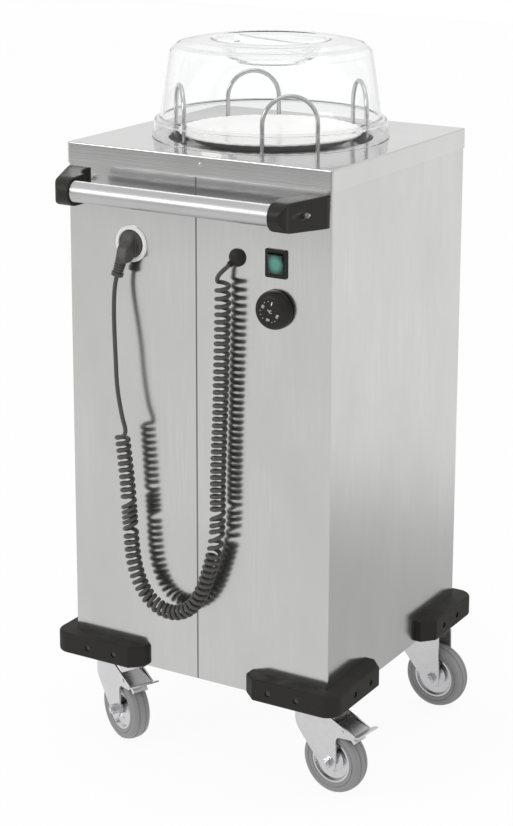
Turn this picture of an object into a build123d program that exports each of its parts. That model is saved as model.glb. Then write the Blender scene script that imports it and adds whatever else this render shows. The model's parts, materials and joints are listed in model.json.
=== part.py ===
"""Mobile heated plate dispenser: a square steel cabinet with one sprung stack of plates.

Millimetres, +Z up.  The origin lies on the floor under the middle of the cabinet.
-Y is the front (push handle and controls), +X is the right-hand side seen from the front.
"""
from build123d import *
import os
from math import atan2, cos, degrees, hypot, radians, sin, tan

# ----------------------------------------------------------------- driving dimensions
# Cabinet
CAB_W = 436.0             # outside width
CAB_D = 412.0             # outside depth
CAB_H = 784.0             # underside of the cabinet to the worktop
SHEET = 1.2               # steel of the housing and the worktop
FOLD_R = 3.0              # outside radius of a fold
SEAM_GAP = 0.6            # between the two housing shells
SEAM_FLANGE = 15.0        # return flange along a seam
SKIRT_H = 30.0            # folded edge of the worktop
FIT = 0.3                 # clearance of a part slipped over another
PAN_SHEET = 2.0           # steel of the floor pan
PAN_FLANGE = 25.0         # its upturned edge

# Well and worktop opening
OPENING_R = 150.0
LIP_R = 4.0               # roll of the opening's edge
COLLAR_H = 14.0           # the edge turned down
LINER_GAP = 10.0          # opening to the liner's inner wall
LINER_SHEET = 1.0
LINER_FLANGE = 8.0
TAB_REACH = 17.0          # spring tabs on the liner
TAB_W = 16.0
TAB_T = 3.0
TAB_DROP = 28.0           # worktop to the top of a tab

# Guide hoops
HOOP_ROD_R = 3.3
HOOP_HALF_W = 40.0        # leg to middle
HOOP_INSET = 15.0         # opening edge to the plane of a hoop
HOOP_RISE = 80.0          # above the worktop
HOOP_TURN = -3.0          # turn of the whole set from the diagonals
STANDOFF_R = 3.0
STANDOFF_DROPS = (60.0, 520.0)

# Platform
PLATFORM_DROP = 16.0      # worktop to the platform's upper face
PLATFORM_INSET = 16.0     # opening edge to the platform's edge
PLATFORM_SHEET = 2.0
PLATFORM_EDGE = 10.0      # its turned-down edge
CARRIAGE_H = 216.0        # platform face to the arms' upper face
STRAP_R = 100.0           # hangers' distance from the middle
STRAP_W = 25.0
STRAP_T = 3.0
ARM_T = 4.0
GLIDE_T = 6.0             # plastic glides at the arm ends
GLIDE_H = 20.0
SPRING_R = 6.0            # outside radius of a spring
SPRING_WIRE_R = 0.9
SPRING_INSET = 10.0       # liner wall to a spring's axis
HOOK_H = 12.0             # end hook of a spring

# Plate
PLATE_PLAY = 1.5          # plate's rim to the hoops' rods
PLATE_H = 25.0
PLATE_T = 4.5

# Heater
HEATER_R = 95.0
HEATER_ROD_R = 4.0
HEATER_RISE = 30.0        # above the floor pan
HEATER_CLIP_W = 14.0
HEATER_CLIP_T = 4.0
GUARD_H = 45.0
GUARD_SHEET = 1.5
GUARD_GAP = 3.0           # to the liner

# Dome
DOME_SEAT = 0.3
DOME_T = 3.0
DOME_R = 175.0
DOME_SKIRT_H = 26.0
DOME_SKIRT_TAPER = 4.0
DOME_LEDGE = 3.5
DOME_H = 143.0
DOME_SHOULDER_R = 156.0
DOME_SHOULDER_H = 113.0
DOME_TOP_R = 138.0
BOWL_R = 75.5
BOWL_DEPTH = 28.0
BOWL_FLOOR_R = 55.0
GRIP_W = 14.0
GRIP_H = 16.0
GRIP_TURN = -17.0

# Push handle
TUBE_R = 15.0
TUBE_WALL = 1.5
TUBE_OFF = 60.0           # from the front panel
TUBE_DROP = 58.0          # from the worktop
COLLAR_R = 21.0
COLLAR_L = 27.0
SOCKET_L = 18.0           # tube inside the collar
BRACKET_INSET = 3.0       # from the cabinet's side
FLANGE_W = 37.0
FLANGE_H = 46.0
BRACKET_ROUND = 3.5
BRACKET_SCREW_IN = 18.0   # screw from the bracket's outer edge
SCREW_HEAD_R = 5.0
SCREW_R = 2.5
BRACKET_SEAT_OFF = 30.0   # where the screw head seats
SCREW_RECESS_GAP = 0.7    # around a screw head

# Bumpers
BUMPER_H = 33.0
BUMPER_T = 26.0
BUMPER_ARM = 130.0
BUMPER_BEVEL = 20.0
BUMPER_CORNER_R = 24.0
BUMPER_ROUND = 4.0
BUMPER_SCREWS = (37.0, 84.0)  # from the cabinet's corner
BUMPER_RECESS = 1.5

# Controls on the front panel, from the middle and down from the worktop
SOCKET_X, SOCKET_DROP = -109.5, 138.5
SOCKET_RING_R = 26.5
SOCKET_RING_T = 3.0
SOCKET_BORE_R = 20.3
SOCKET_WALL = 2.2
SOCKET_DEPTH = 15.0
SOCKET_BACK = 22.0
PIN_R = 2.4
PIN_PITCH = 19.0
PIN_L = 19.0
GLAND_X, GLAND_DROP = 68.5, 137.5
GLAND_R = 13.0
GLAND_H = 8.5
SNOUT_R = 4.6
SNOUT_L = 7.0
GLAND_THREAD_R = 7.0
GLAND_NUT_R = 11.0
GLAND_NUT_T = 5.0
SWITCH_X, SWITCH_DROP = 131.4, 138.6
SWITCH_W, SWITCH_H = 35.0, 41.0
SWITCH_PROUD = 3.0
SWITCH_BODY_D = 24.0
ROCKER_W, ROCKER_H = 23.5, 27.4
ROCKER_TILT = 7.0         # each way from level
ROCKER_GAP = 0.5
KNOB_X, KNOB_DROP = 130.7, 203.7
KNOB_R = 28.0
KNOB_H = 11.0
KNOB_GAP = 1.0
KNOB_FLUTES = 24
SHAFT_R = 3.0
BUSH_R = 5.0
THERMOSTAT_W, THERMOSTAT_H, THERMOSTAT_D = 46.0, 34.0, 28.0

# Plug and cord; the cord's points are (x, out from the front panel, height) on a cart
# whose worktop is CORD_DATUM high, and move with the controls.
CORD_DATUM = 922.0
CORD_R = 3.15
COIL_R = 11.75
PLUG_R = 19.5
PLUG_OUT = 5.0            # of the plug's face disc, from the panel
PLUG_BODY_W = 19.5
PLUG_GRIP_ROUND = 4.0
BOOT_R = 8.4
BOOT_TIP_R = 7.4
CORD_EXIT = (59.5, 8.0, 774.0)
TAIL_ROUTE = [
    CORD_EXIT, (56, 13.2, 769.2), (52.3, 18.3, 764.3), (48.8, 22, 758.6), (48.9, 22, 752)]
COIL_ROUTE = [
    (57.5, 22, 752), (58, 22, 722), (56.2, 22, 663), (54.6, 22, 603), (53.2, 22.3, 555.5),
    (51.2, 22.8, 507.6), (49.6, 23.4, 448), (49.6, 23.2, 396), (45.8, 23.8, 357), (35.4, 24.4, 321),
    (24.6, 24.6, 290), (11.5, 24.8, 266.5), (-5, 24.8, 252), (-24, 24.4, 244.4), (-43.4, 24, 245),
    (-60.8, 24.6, 252.6), (-75, 26, 267.2), (-86, 28, 289), (-93.4, 30, 322), (-96.4, 31, 376),
    (-100.5, 31, 441), (-107.2, 33, 506)]
LEAD_ROUTE = [
    (-120.1, 22, 740), (-122.5, 22.36, 731.9), (-124.2, 23.6, 716), (-123.4, 26.8, 690),
    (-120, 30.8, 657), (-116.2, 33.8, 617), (-114, 35.2, 577), (-110.885, 34.1, 541.75),
    (-107.2, 33, 506)]
BOOT_ROUTE = [(-113.4, 21, 762.5), (-120.1, 22, 740)]

# Casters
WHEEL_R = 50.0
TYRE_W = 30.0
TYRE_DEPTH = 17.0         # tread to rim
CASTER_HEAD = 38.0        # wheel top to the mounting face
CASTER_TRAIL = 36.6
CASTER_INSET = 40.0       # pivot from the cabinet's sides
CASTER_PLATE = 76.0
CASTER_PLATE_T = 3.0
BOLT_HOLE_R = 4.2
BOLT_PITCH = 58.0
RACE_R = 23.0
KINGPIN_R = 6.0
KINGPIN_HEAD_R = 10.0
FORK_SHEET = 2.5
FORK_GAP = 3.0            # tyre to fork leg
FORK_BOSS_R = 14.0
AXLE_R = 4.0
HUB_R = 9.5
NUT_AF = 13.0
NUT_T = 6.5
BRAKE_CLEAR = 4.5         # shoe to tread, pedal up
BRAKE_PIN_R = 2.5
RUN_FIT = 0.05            # radial clearance of a running fit
# corner: (side, end, turn of the trail from +X, braked)
CASTERS = {
    "front_left": (-1, -1, -25.9, True),
    "front_right": (1, -1, -7.8, True),
    "rear_right": (1, 1, -4.2, False),
    "rear_left": (-1, 1, 152.0, False)}

# ----------------------------------------------------------------- worked out
CASTER_H = 2 * WHEEL_R + CASTER_HEAD
CAB_BOTTOM = CASTER_H
TOP_Z = CAB_BOTTOM + CAB_H
PAN_TOP = CAB_BOTTOM + PAN_SHEET
LINER_R = OPENING_R + LINER_GAP
HOOP_R = OPENING_R - HOOP_INSET
PLATE_R = hypot(HOOP_R, HOOP_HALF_W) - HOOP_ROD_R - PLATE_PLAY
PLATFORM_Z = TOP_Z - PLATFORM_DROP
PLATFORM_R = OPENING_R - PLATFORM_INSET
ARM_Z = PLATFORM_Z - CARRIAGE_H
SPRING_AXIS_R = LINER_R - SPRING_INSET
TAB_Z = TOP_Z - TAB_DROP
GUARD_TOP = PAN_TOP + GUARD_H
QUARTERS = [HOOP_TURN + 90 * i for i in range(4)]


# ----------------------------------------------------------------- helpers
def on_front(x, off, z):
    """Point `off` mm out from the front panel."""
    return Vector(x, -CAB_D / 2 - off, z)


def cord_points(route):
    """A route of the cord in the cart's own frame."""
    return [on_front(x, off, z + TOP_Z - CORD_DATUM) for x, off, z in route]


def turned(*edges):
    """Solid turned about Z from a closed outline drawn as (radius, height)."""
    return revolve(Plane.XZ * make_face(edges), Axis.Z)


def facing_out(x, drop):
    """Plane on the front panel, its normal pointing out of the cabinet."""
    return Plane(origin=on_front(x, 0, TOP_Z - drop), x_dir=(1, 0, 0), z_dir=(0, -1, 0))


def rounded_shell(width, depth, radius, wall, height):
    """Upright tube of rounded rectangular section, its base at z 0."""
    outer = RectangleRounded(width, depth, radius)
    inner = RectangleRounded(width - 2 * wall, depth - 2 * wall, radius - wall)
    return extrude(outer - inner, height)


def cord_tube(route, radius):
    """Round tube along straight runs joined by the largest arcs that they allow."""
    points = cord_points(route)
    radii = []
    for before, corner, after in zip(points, points[1:], points[2:]):
        first, second = corner - before, after - corner
        half_turn = radians(first.get_angle(second) / 2)
        radii.append(0.45 * min(first.length, second.length) / tan(half_turn))
    path = FilletPolyline(*points, radius=radii)
    section = Plane(origin=path @ 0, z_dir=path % 0) * Circle(radius)
    tube = sweep(section, path=path)
    ideal = path.length * section.area
    print(f"  cord r {radius}: length {path.length:.1f}, least radius {min(radii):.1f} of "
          f"{[round(r, 1) for r in radii]}, volume ratio {tube.volume / ideal:.5f}")
    return tube


def copies(shape, places, base=Pos(0, 0, 0)):
    """The shape at each of the places, seen from the base."""
    return [base * place * shape for place in places]


def save(name, *solids):
    """One STEP file for one sub-part."""
    part = solids[0] if len(solids) == 1 else Compound(children=list(solids))
    export_step(part, f"parts/{name}.step")


# ----------------------------------------------------------------- cabinet
def housing_half(side):
    """Folded shell of one side wall with half the front and half the back."""
    height = CAB_H - SHEET
    shell = Pos(0, 0, CAB_BOTTOM) * rounded_shell(CAB_W, CAB_D, FOLD_R, SHEET, height)
    middle = side * (SEAM_GAP / 2 + CAB_W / 4)
    half = shell & Pos(middle, 0, CAB_BOTTOM + height / 2) * Box(CAB_W / 2, CAB_D + 1, height)
    flange_from = PAN_TOP + PAN_FLANGE + FIT
    flange_h = TOP_Z - SHEET - flange_from
    for end in (-1, 1):
        y = end * (CAB_D / 2 - (SHEET + SEAM_FLANGE) / 2)
        x = side * (SEAM_GAP + SHEET) / 2
        half += Pos(x, y, flange_from + flange_h / 2) * Box(SHEET, SHEET + SEAM_FLANGE, flange_h)
    return half


def front_hole(x, drop, sketch):
    """Cutter through the front panel."""
    return extrude(facing_out(x, drop) * sketch, SHEET * 3, both=True)


def housing_left():
    body = SOCKET_BORE_R + SOCKET_WALL
    shell = housing_half(-1) - front_hole(SOCKET_X, SOCKET_DROP, Circle(body + FIT / 2))
    return shell - handle_screw_hole(-1) - rivet_holes()


def housing_right():
    shell = housing_half(1)
    shell -= front_hole(GLAND_X, GLAND_DROP, Circle(GLAND_THREAD_R + FIT / 2))
    shell -= front_hole(SWITCH_X, SWITCH_DROP, Rectangle(ROCKER_W + 4 + FIT, ROCKER_H + 4 + FIT))
    shell -= front_hole(KNOB_X, KNOB_DROP, Circle(BUSH_R + FIT / 2))
    return shell - handle_screw_hole(1) - rivet_holes()


def worktop():
    """Tray slipped over the housing, its opening rolled down into a collar."""
    grow = 2 * (SHEET + FIT)
    outer = RectangleRounded(CAB_W + grow, CAB_D + grow, FOLD_R + SHEET)
    tray = extrude(outer, SKIRT_H)
    tray = fillet(tray.faces().sort_by(Axis.Z)[-1].edges(), 2.0)
    inner = RectangleRounded(CAB_W + 2 * FIT, CAB_D + 2 * FIT, FOLD_R)
    tray -= extrude(inner, SKIRT_H - SHEET)
    tray = Pos(0, 0, TOP_Z - SKIRT_H) * tray
    roll_r = OPENING_R + LIP_R
    tray -= Pos(0, 0, TOP_Z) * Cylinder(roll_r, 10)
    roll_z = TOP_Z - LIP_R
    low = TOP_Z - COLLAR_H
    lip = turned(
        CenterArc((roll_r, roll_z), LIP_R, 90, 90),
        Line((OPENING_R, roll_z), (OPENING_R, low)),
        Line((OPENING_R, low), (OPENING_R + SHEET, low)),
        Line((OPENING_R + SHEET, low), (OPENING_R + SHEET, roll_z)),
        CenterArc((roll_r, roll_z), LIP_R - SHEET, 180, -90),
        Line((roll_r, TOP_Z - SHEET), (roll_r, TOP_Z)))
    return tray + lip - rivet_holes()


def worktop_rivets():
    """Blind rivets that hold the skirt over the two seams."""
    rivets = []
    for end in (-1, 1):
        face = end * (CAB_D / 2 + FIT + SHEET)
        rivet = turned(
            ThreePointArc((0, 1.4), (2.2, 1.0), (3.2, 0)), Line((3.2, 0), (1.6, 0)),
            Line((1.6, 0), (1.6, -2.6)), Line((1.6, -2.6), (0, -2.6)), Line((0, -2.6), (0, 1.4)))
        rivets.append(Pos(7.9, face, TOP_Z - 12) * Rot(-90 * end, 0, 0) * rivet)
    return rivets


def rivet_holes():
    """Cutter for the rivets' shanks."""
    return Pos(7.9, 0, TOP_Z - 12) * Rot(90, 0, 0) * Cylinder(1.6, CAB_D + 10)


def floor_pan():
    """Tray that carries the casters and the well, vented under the heater."""
    width, depth = CAB_W - 2 * (SHEET + FIT), CAB_D - 2 * (SHEET + FIT)
    pan = extrude(RectangleRounded(width, depth, FOLD_R - SHEET), PAN_SHEET)
    rim = rounded_shell(width, depth, FOLD_R - SHEET, PAN_SHEET - 0.4, PAN_SHEET + PAN_FLANGE)
    pan = pan + rim - copies(Cylinder(8, 4 * PAN_SHEET), PolarLocations(HEATER_R * 0.6, 8))
    for corner in CASTERS.values():
        pan -= copies(Cylinder(BOLT_HOLE_R, 4 * PAN_SHEET), bolt_grid(), Pos(*caster_pivot(corner), 0))
    return Pos(0, 0, CAB_BOTTOM) * pan


def well_liner():
    """Tube for the stack, standing on the floor pan, with tabs for the springs."""
    top = TOP_Z - SHEET
    outer = LINER_R + LINER_SHEET
    tube = turned(Polyline(
        (LINER_R, PAN_TOP), (outer, PAN_TOP), (outer, top - LINER_SHEET),
        (outer + LINER_FLANGE, top - LINER_SHEET), (outer + LINER_FLANGE, top), (LINER_R, top),
        close=True))
    reach = TAB_REACH + LINER_SHEET / 2
    for angle in QUARTERS:
        tab = Pos(LINER_R + LINER_SHEET / 2 - reach / 2, 0, TAB_Z - TAB_T / 2) * Box(reach, TAB_W, TAB_T)
        tab -= Pos(SPRING_AXIS_R, 0, TAB_Z) * Cylinder(SPRING_WIRE_R + 1.0, 3 * TAB_T)
        tube += Rot(0, 0, angle) * tab
    return tube


# ----------------------------------------------------------------- stack
def guide_hoop(angle):
    """Bent rod with both legs standing in the well, welded to stand-offs on the liner."""
    top = TOP_Z + HOOP_RISE - HOOP_ROD_R - HOOP_HALF_W
    path = Curve() + [
        Line((0, -HOOP_HALF_W, GUARD_TOP), (0, -HOOP_HALF_W, top)),
        ThreePointArc((0, -HOOP_HALF_W, top), (0, 0, top + HOOP_HALF_W), (0, HOOP_HALF_W, top)),
        Line((0, HOOP_HALF_W, top), (0, HOOP_HALF_W, GUARD_TOP))]
    rod = sweep(Pos(0, -HOOP_HALF_W, GUARD_TOP) * Circle(HOOP_ROD_R), path=path)
    hoop = Pos(HOOP_R, 0, 0) * rod
    leg_r = hypot(HOOP_R, HOOP_HALF_W)
    leg_turn = degrees(atan2(HOOP_HALF_W, HOOP_R))
    length = LINER_R - leg_r
    for side in (-1, 1):
        for drop in STANDOFF_DROPS:
            stud = Pos(leg_r + length / 2, 0, TOP_Z - drop) * Rot(0, 90, 0) * Cylinder(STANDOFF_R, length)
            stud &= Pos(0, 0, TOP_Z - drop) * Cylinder(LINER_R, 4 * STANDOFF_R)
            hoop += Rot(0, 0, side * leg_turn) * stud
    return Rot(0, 0, angle) * hoop


def platform_disc():
    """Pressed disc with a turned-down edge and a pattern of drain holes."""
    low = PLATFORM_Z - PLATFORM_EDGE
    inner = PLATFORM_R - PLATFORM_SHEET
    bend = 2 * PLATFORM_SHEET
    disc = turned(
        Line((0, PLATFORM_Z), (PLATFORM_R - bend, PLATFORM_Z)),
        CenterArc((PLATFORM_R - bend, PLATFORM_Z - bend), bend, 90, -90),
        Line((PLATFORM_R, PLATFORM_Z - bend), (PLATFORM_R, low)),
        Line((PLATFORM_R, low), (inner, low)),
        Line((inner, low), (inner, PLATFORM_Z - bend)),
        CenterArc((PLATFORM_R - bend, PLATFORM_Z - bend), bend - PLATFORM_SHEET, 0, 90),
        Line((PLATFORM_R - bend, PLATFORM_Z - PLATFORM_SHEET), (0, PLATFORM_Z - PLATFORM_SHEET)),
        Line((0, PLATFORM_Z - PLATFORM_SHEET), (0, PLATFORM_Z)))
    hole = Cylinder(9, 4 * PLATFORM_SHEET)
    return disc - copies(hole, PolarLocations(PLATFORM_R * 0.45, 6), Pos(0, 0, PLATFORM_Z))


def platform_carriage():
    """Welded cross under the disc: four hangers and four arms out to the springs."""
    reach = LINER_R - FIT - GLIDE_T
    under = PLATFORM_Z - PLATFORM_SHEET
    cross = None
    for angle in QUARTERS:
        arm = Pos(reach / 2, 0, ARM_Z - ARM_T / 2) * Box(reach, STRAP_W, ARM_T)
        arm -= Pos(SPRING_AXIS_R, 0, ARM_Z) * Cylinder(SPRING_WIRE_R + 1.0, 4 * ARM_T)
        hanger_h = under - ARM_Z
        hanger = Pos(STRAP_R, 0, ARM_Z + hanger_h / 2) * Box(STRAP_T, STRAP_W, hanger_h)
        foot = Pos(STRAP_R - STRAP_W / 2, 0, under - STRAP_T / 2) * Box(STRAP_W, STRAP_W, STRAP_T)
        limb = Rot(0, 0, angle) * (arm + hanger + foot)
        cross = limb if cross is None else cross + limb
    return cross


def glide_pads():
    """Plastic blocks on the arm ends that run on the liner's wall."""
    pads = []
    outer = LINER_R - FIT
    inner = outer - GLIDE_T
    for angle in QUARTERS:
        block = Pos((inner + outer) / 2, 0, ARM_Z - ARM_T / 2) * Box(2 * GLIDE_T, STRAP_W, GLIDE_H)
        block &= Pos(0, 0, ARM_Z) * Cylinder(outer, 4 * GLIDE_H)
        block -= Pos(inner / 2, 0, ARM_Z) * Box(inner, 2 * STRAP_W, 4 * GLIDE_H)
        pads.append(Rot(0, 0, angle) * block)
    return pads


def lift_springs():
    """Extension springs: close-wound bodies drawn as tubes, with a straight hook at each end."""
    low, high = ARM_Z, TAB_Z - TAB_T
    springs = []
    for angle in QUARTERS:
        body = turned(Polyline(
            (SPRING_R - 2 * SPRING_WIRE_R, low + HOOK_H), (SPRING_R, low + HOOK_H),
            (SPRING_R, high - HOOK_H), (SPRING_R - 2 * SPRING_WIRE_R, high - HOOK_H), close=True))
        cap_r = SPRING_R - SPRING_WIRE_R
        for end, z in ((-1, low + HOOK_H), (1, high - HOOK_H)):
            body += Pos(0, 0, z - end * SPRING_WIRE_R) * Cylinder(cap_r, 2 * SPRING_WIRE_R)
            body += Pos(0, 0, z + end * HOOK_H / 2) * Cylinder(SPRING_WIRE_R, HOOK_H)
        springs.append(Rot(0, 0, angle) * Pos(SPRING_AXIS_R, 0, 0) * body)
    return springs


def dinner_plate():
    """Coupe plate with a foot ring, resting on the platform."""
    foot = PLATE_R * 0.54
    outline = FilletPolyline(
        (0, 2), (foot - 4, 2), (foot - 2, 0), (foot + 3, 0), (foot + 8, 4), (PLATE_R * 0.86, 11),
        (PLATE_R, PLATE_H - 3), (PLATE_R - 0.5, PLATE_H), (PLATE_R * 0.85, 11 + PLATE_T),
        (foot + 6, 4 + PLATE_T), (0, 2 + PLATE_T),
        radius=[0.8, 0.8, 0.8, 6, 20, 1, 1, 20, 12])
    closing = Line((0, 2 + PLATE_T), (0, 2))
    return Pos(0, 0, PLATFORM_Z) * turned(outline, closing)


def heater_element():
    """Tubular ring heater held in three upright clips."""
    ring = Pos(0, 0, PAN_TOP + HEATER_RISE) * Torus(HEATER_R, HEATER_ROD_R)
    height = HEATER_RISE + HEATER_ROD_R + 1
    clip = Pos(HEATER_R, 0, PAN_TOP + height / 2) * Box(HEATER_CLIP_W, HEATER_CLIP_T, height)
    for angle in (30, 150, 270):
        ring += Rot(0, 0, angle) * clip
    return ring


def heater_guard():
    """Perforated cap over the heater."""
    outer = LINER_R - GUARD_GAP
    cap = turned(Polyline(
        (0, GUARD_TOP), (outer, GUARD_TOP), (outer, PAN_TOP), (outer - GUARD_SHEET, PAN_TOP),
        (outer - GUARD_SHEET, GUARD_TOP - GUARD_SHEET), (0, GUARD_TOP - GUARD_SHEET), close=True))
    for radius, count in ((0.3, 6), (0.5, 12), (0.7, 16)):
        hole = Cylinder(7, 4 * GUARD_SHEET)
        cap -= copies(hole, PolarLocations(outer * radius, count), Pos(0, 0, GUARD_TOP))
    return cap


def dome_cover():
    """Clear moulded dome with a recessed grip in its top."""
    def outline(inset):
        ledge_r = DOME_R - DOME_SKIRT_TAPER - DOME_LEDGE
        points = [
            (0, DOME_H - BOWL_DEPTH - inset),
            (BOWL_FLOOR_R, DOME_H - BOWL_DEPTH - inset),
            (BOWL_R + inset, DOME_H - 3 - inset),
            (DOME_TOP_R - inset, DOME_H - inset),
            (DOME_SHOULDER_R - inset, DOME_SHOULDER_H - inset),
            (ledge_r - inset, DOME_SKIRT_H + 3 - inset),
            (DOME_R - DOME_SKIRT_TAPER - inset, DOME_SKIRT_H - inset),
            (DOME_R - inset, 0)]
        curve = FilletPolyline(*points, radius=[12, 5, 12, 60, 3, 2])
        return turned(curve, Line(points[-1], (0, 0)), Line((0, 0), points[0]))

    shell = outline(0) - outline(DOME_T)
    grip = Rot(0, 0, GRIP_TURN) * Pos(0, 0, DOME_H - GRIP_H / 2 - 1) * Box(2 * BOWL_R, GRIP_W, GRIP_H)
    grip = fillet(grip.edges().filter_by(Axis.Z, reverse=True).group_by(Axis.Z)[-1], 3)
    grip &= Pos(0, 0, DOME_H) * Cylinder(BOWL_R - 2, 4 * GRIP_H)
    return Pos(0, 0, TOP_Z + DOME_SEAT) * (shell + grip)


# ----------------------------------------------------------------- handle
def bracket_plan():
    """Plan of the right-hand bracket: a flange on the panel and an arm to the tube's collar."""
    outer = CAB_W / 2 - BRACKET_INSET
    inner = outer - FLANGE_W
    collar_out = outer - FLANGE_W + 11
    collar_in = collar_out - COLLAR_L
    front = TUBE_OFF + COLLAR_R
    back = TUBE_OFF - COLLAR_R
    panel = lambda x, off: (x, -CAB_D / 2 - off)
    return make_face([
        Line(panel(inner, 0), panel(outer, 0)),
        Line(panel(outer, 0), panel(outer, 7)),
        Line(panel(outer, 7), panel(collar_out, TUBE_OFF + 8)),
        ThreePointArc(panel(collar_out, TUBE_OFF + 8), panel(collar_out - 4, front - 3.5),
                      panel(collar_out - 13, front)),
        Line(panel(collar_out - 13, front), panel(collar_in, front)),
        Line(panel(collar_in, front), panel(collar_in, back)),
        ThreePointArc(panel(collar_in, back), panel(inner - 3, back - 13), panel(inner, 6)),
        Line(panel(inner, 6), panel(inner, 0))]), collar_in


def handle_bracket(side):
    """Moulded bracket: the plan crossed with a side view that tapers to the round collar."""
    plan, collar_in = bracket_plan()
    tube_z = TOP_Z - TUBE_DROP
    flange_z = tube_z + 1
    body = extrude(Pos(0, 0, flange_z - FLANGE_H / 2) * plan, FLANGE_H)
    face = Plane(origin=on_front(0, 0, 0), x_dir=(0, -1, 0), z_dir=(-1, 0, 0))
    view = face * (
        Pos(TUBE_OFF, tube_z) * Circle(COLLAR_R)
        + make_face(Polyline(
            (0, flange_z - FLANGE_H / 2), (0, flange_z + FLANGE_H / 2),
            (10, flange_z + FLANGE_H / 2), (TUBE_OFF, tube_z + COLLAR_R),
            (TUBE_OFF, tube_z - COLLAR_R), (10, flange_z - FLANGE_H / 2), close=True)))
    body &= extrude(view, CAB_W, both=True)
    long_edges = body.edges().filter_by(lambda e: e.length > 12 and abs((e % 0.5).Z) < 0.3)
    rounded = [e for e in long_edges if (e @ 0.5).Y < -CAB_D / 2 - 4 and abs((e @ 0.5).X - collar_in) > 1]
    body = fillet(rounded, BRACKET_ROUND)
    bore = Pos(collar_in + SOCKET_L / 2, -CAB_D / 2 - TUBE_OFF, tube_z) * Rot(0, 90, 0)
    body -= bore * Cylinder(TUBE_R + RUN_FIT, SOCKET_L)
    recess = Cylinder(SCREW_HEAD_R + SCREW_RECESS_GAP, 100, align=(Align.CENTER, Align.CENTER, Align.MIN))
    body -= handle_screw_place(1) * recess
    body -= handle_screw_hole(1)
    return body if side > 0 else mirror(body, Plane.YZ)


def handle_screw_place(side):
    """Seat of the bracket's screw, looking out of the panel."""
    x = side * (CAB_W / 2 - BRACKET_INSET - BRACKET_SCREW_IN)
    return facing_out(x, TUBE_DROP - 1).location * Pos(0, 0, BRACKET_SEAT_OFF)


def handle_screw_hole(side):
    """Cutter for the screw's shank, through the bracket and the housing's front."""
    return handle_screw_place(side) * Cylinder(SCREW_R, 2 * (BRACKET_SEAT_OFF + 10))


def socket_screw(shank):
    """Screw with a round head and a hexagon socket; the head's underside is at z 0."""
    head = Cylinder(SCREW_HEAD_R, 4, align=(Align.CENTER, Align.CENTER, Align.MIN))
    head -= Pos(0, 0, 1.6) * extrude(RegularPolygon(2.3, 6), 3)
    return head + Cylinder(SCREW_R, shank, align=(Align.CENTER, Align.CENTER, Align.MAX))


def handle_screws():
    shank = BRACKET_SEAT_OFF + 6
    return [handle_screw_place(side) * socket_screw(shank) for side in (-1, 1)]


def push_handle_tube():
    half = CAB_W / 2 - BRACKET_INSET - FLANGE_W + 11 - COLLAR_L + SOCKET_L
    tube = Cylinder(TUBE_R, 2 * half) - Cylinder(TUBE_R - TUBE_WALL, 2 * half)
    return Pos(0, -CAB_D / 2 - TUBE_OFF, TOP_Z - TUBE_DROP) * Rot(0, 90, 0) * tube


# ----------------------------------------------------------------- bumpers
def bumper_screw_places(side, end):
    """Seats of the four screws in one bumper, their axes pointing out of the cabinet."""
    z = CAB_BOTTOM + BUMPER_H / 2
    seat = BUMPER_T - BUMPER_RECESS - 3
    places = []
    for along in BUMPER_SCREWS:
        places.append(Plane(origin=(side * (CAB_W / 2 - along), end * (CAB_D / 2 + seat), z),
                            x_dir=(1, 0, 0), z_dir=(0, end, 0)).location)
        places.append(Plane(origin=(side * (CAB_W / 2 + seat), end * (CAB_D / 2 - along), z),
                            x_dir=(0, 1, 0), z_dir=(side, 0, 0)).location)
    return places


def bumper(side, end):
    """Moulded corner bumper with bevelled arm ends and countersunk screws."""
    arm = BUMPER_ARM
    out = BUMPER_T
    plan = make_face(Polyline(
        (0, 0), (-arm, 0), (-arm, out - BUMPER_BEVEL + 2), (BUMPER_BEVEL - arm, out), (out, out),
        (out, BUMPER_BEVEL - arm), (out - BUMPER_BEVEL + 2, -arm), (0, -arm), close=True))
    corner = plan.vertices().sort_by(lambda v: v.X + v.Y)[-1]
    plan = fillet(corner, BUMPER_CORNER_R)
    body = extrude(plan, BUMPER_H)
    rims = [e for e in body.edges().filter_by(lambda e: abs((e % 0.5).Z) < 0.1)
            if (e @ 0.5).X > 0.1 or (e @ 0.5).Y > 0.1 or max(-(e @ 0.5).X, -(e @ 0.5).Y) > arm - 1]
    body = fillet(rims, BUMPER_ROUND)
    body = Pos(CAB_W / 2, CAB_D / 2, CAB_BOTTOM) * body
    if side < 0:
        body = mirror(body, Plane.YZ)
    if end < 0:
        body = mirror(body, Plane.XZ)
    for place in bumper_screw_places(side, end):
        body -= place * Cylinder(4.6, 20, align=(Align.CENTER, Align.CENTER, Align.MIN))
        body -= place * Cylinder(SCREW_R, 80)
    return body


def bumper_screws():
    """Pan-head screws through the bumpers into the housing."""
    screws = []
    shank = BUMPER_T - BUMPER_RECESS - 3
    for side, end, _, _ in CASTERS.values():
        for place in bumper_screw_places(side, end):
            head = Cylinder(4.4, 2.6, align=(Align.CENTER, Align.CENTER, Align.MIN))
            stem = Cylinder(SCREW_R, shank, align=(Align.CENTER, Align.CENTER, Align.MAX))
            screws.append(place * (head + stem))
    return screws


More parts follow.
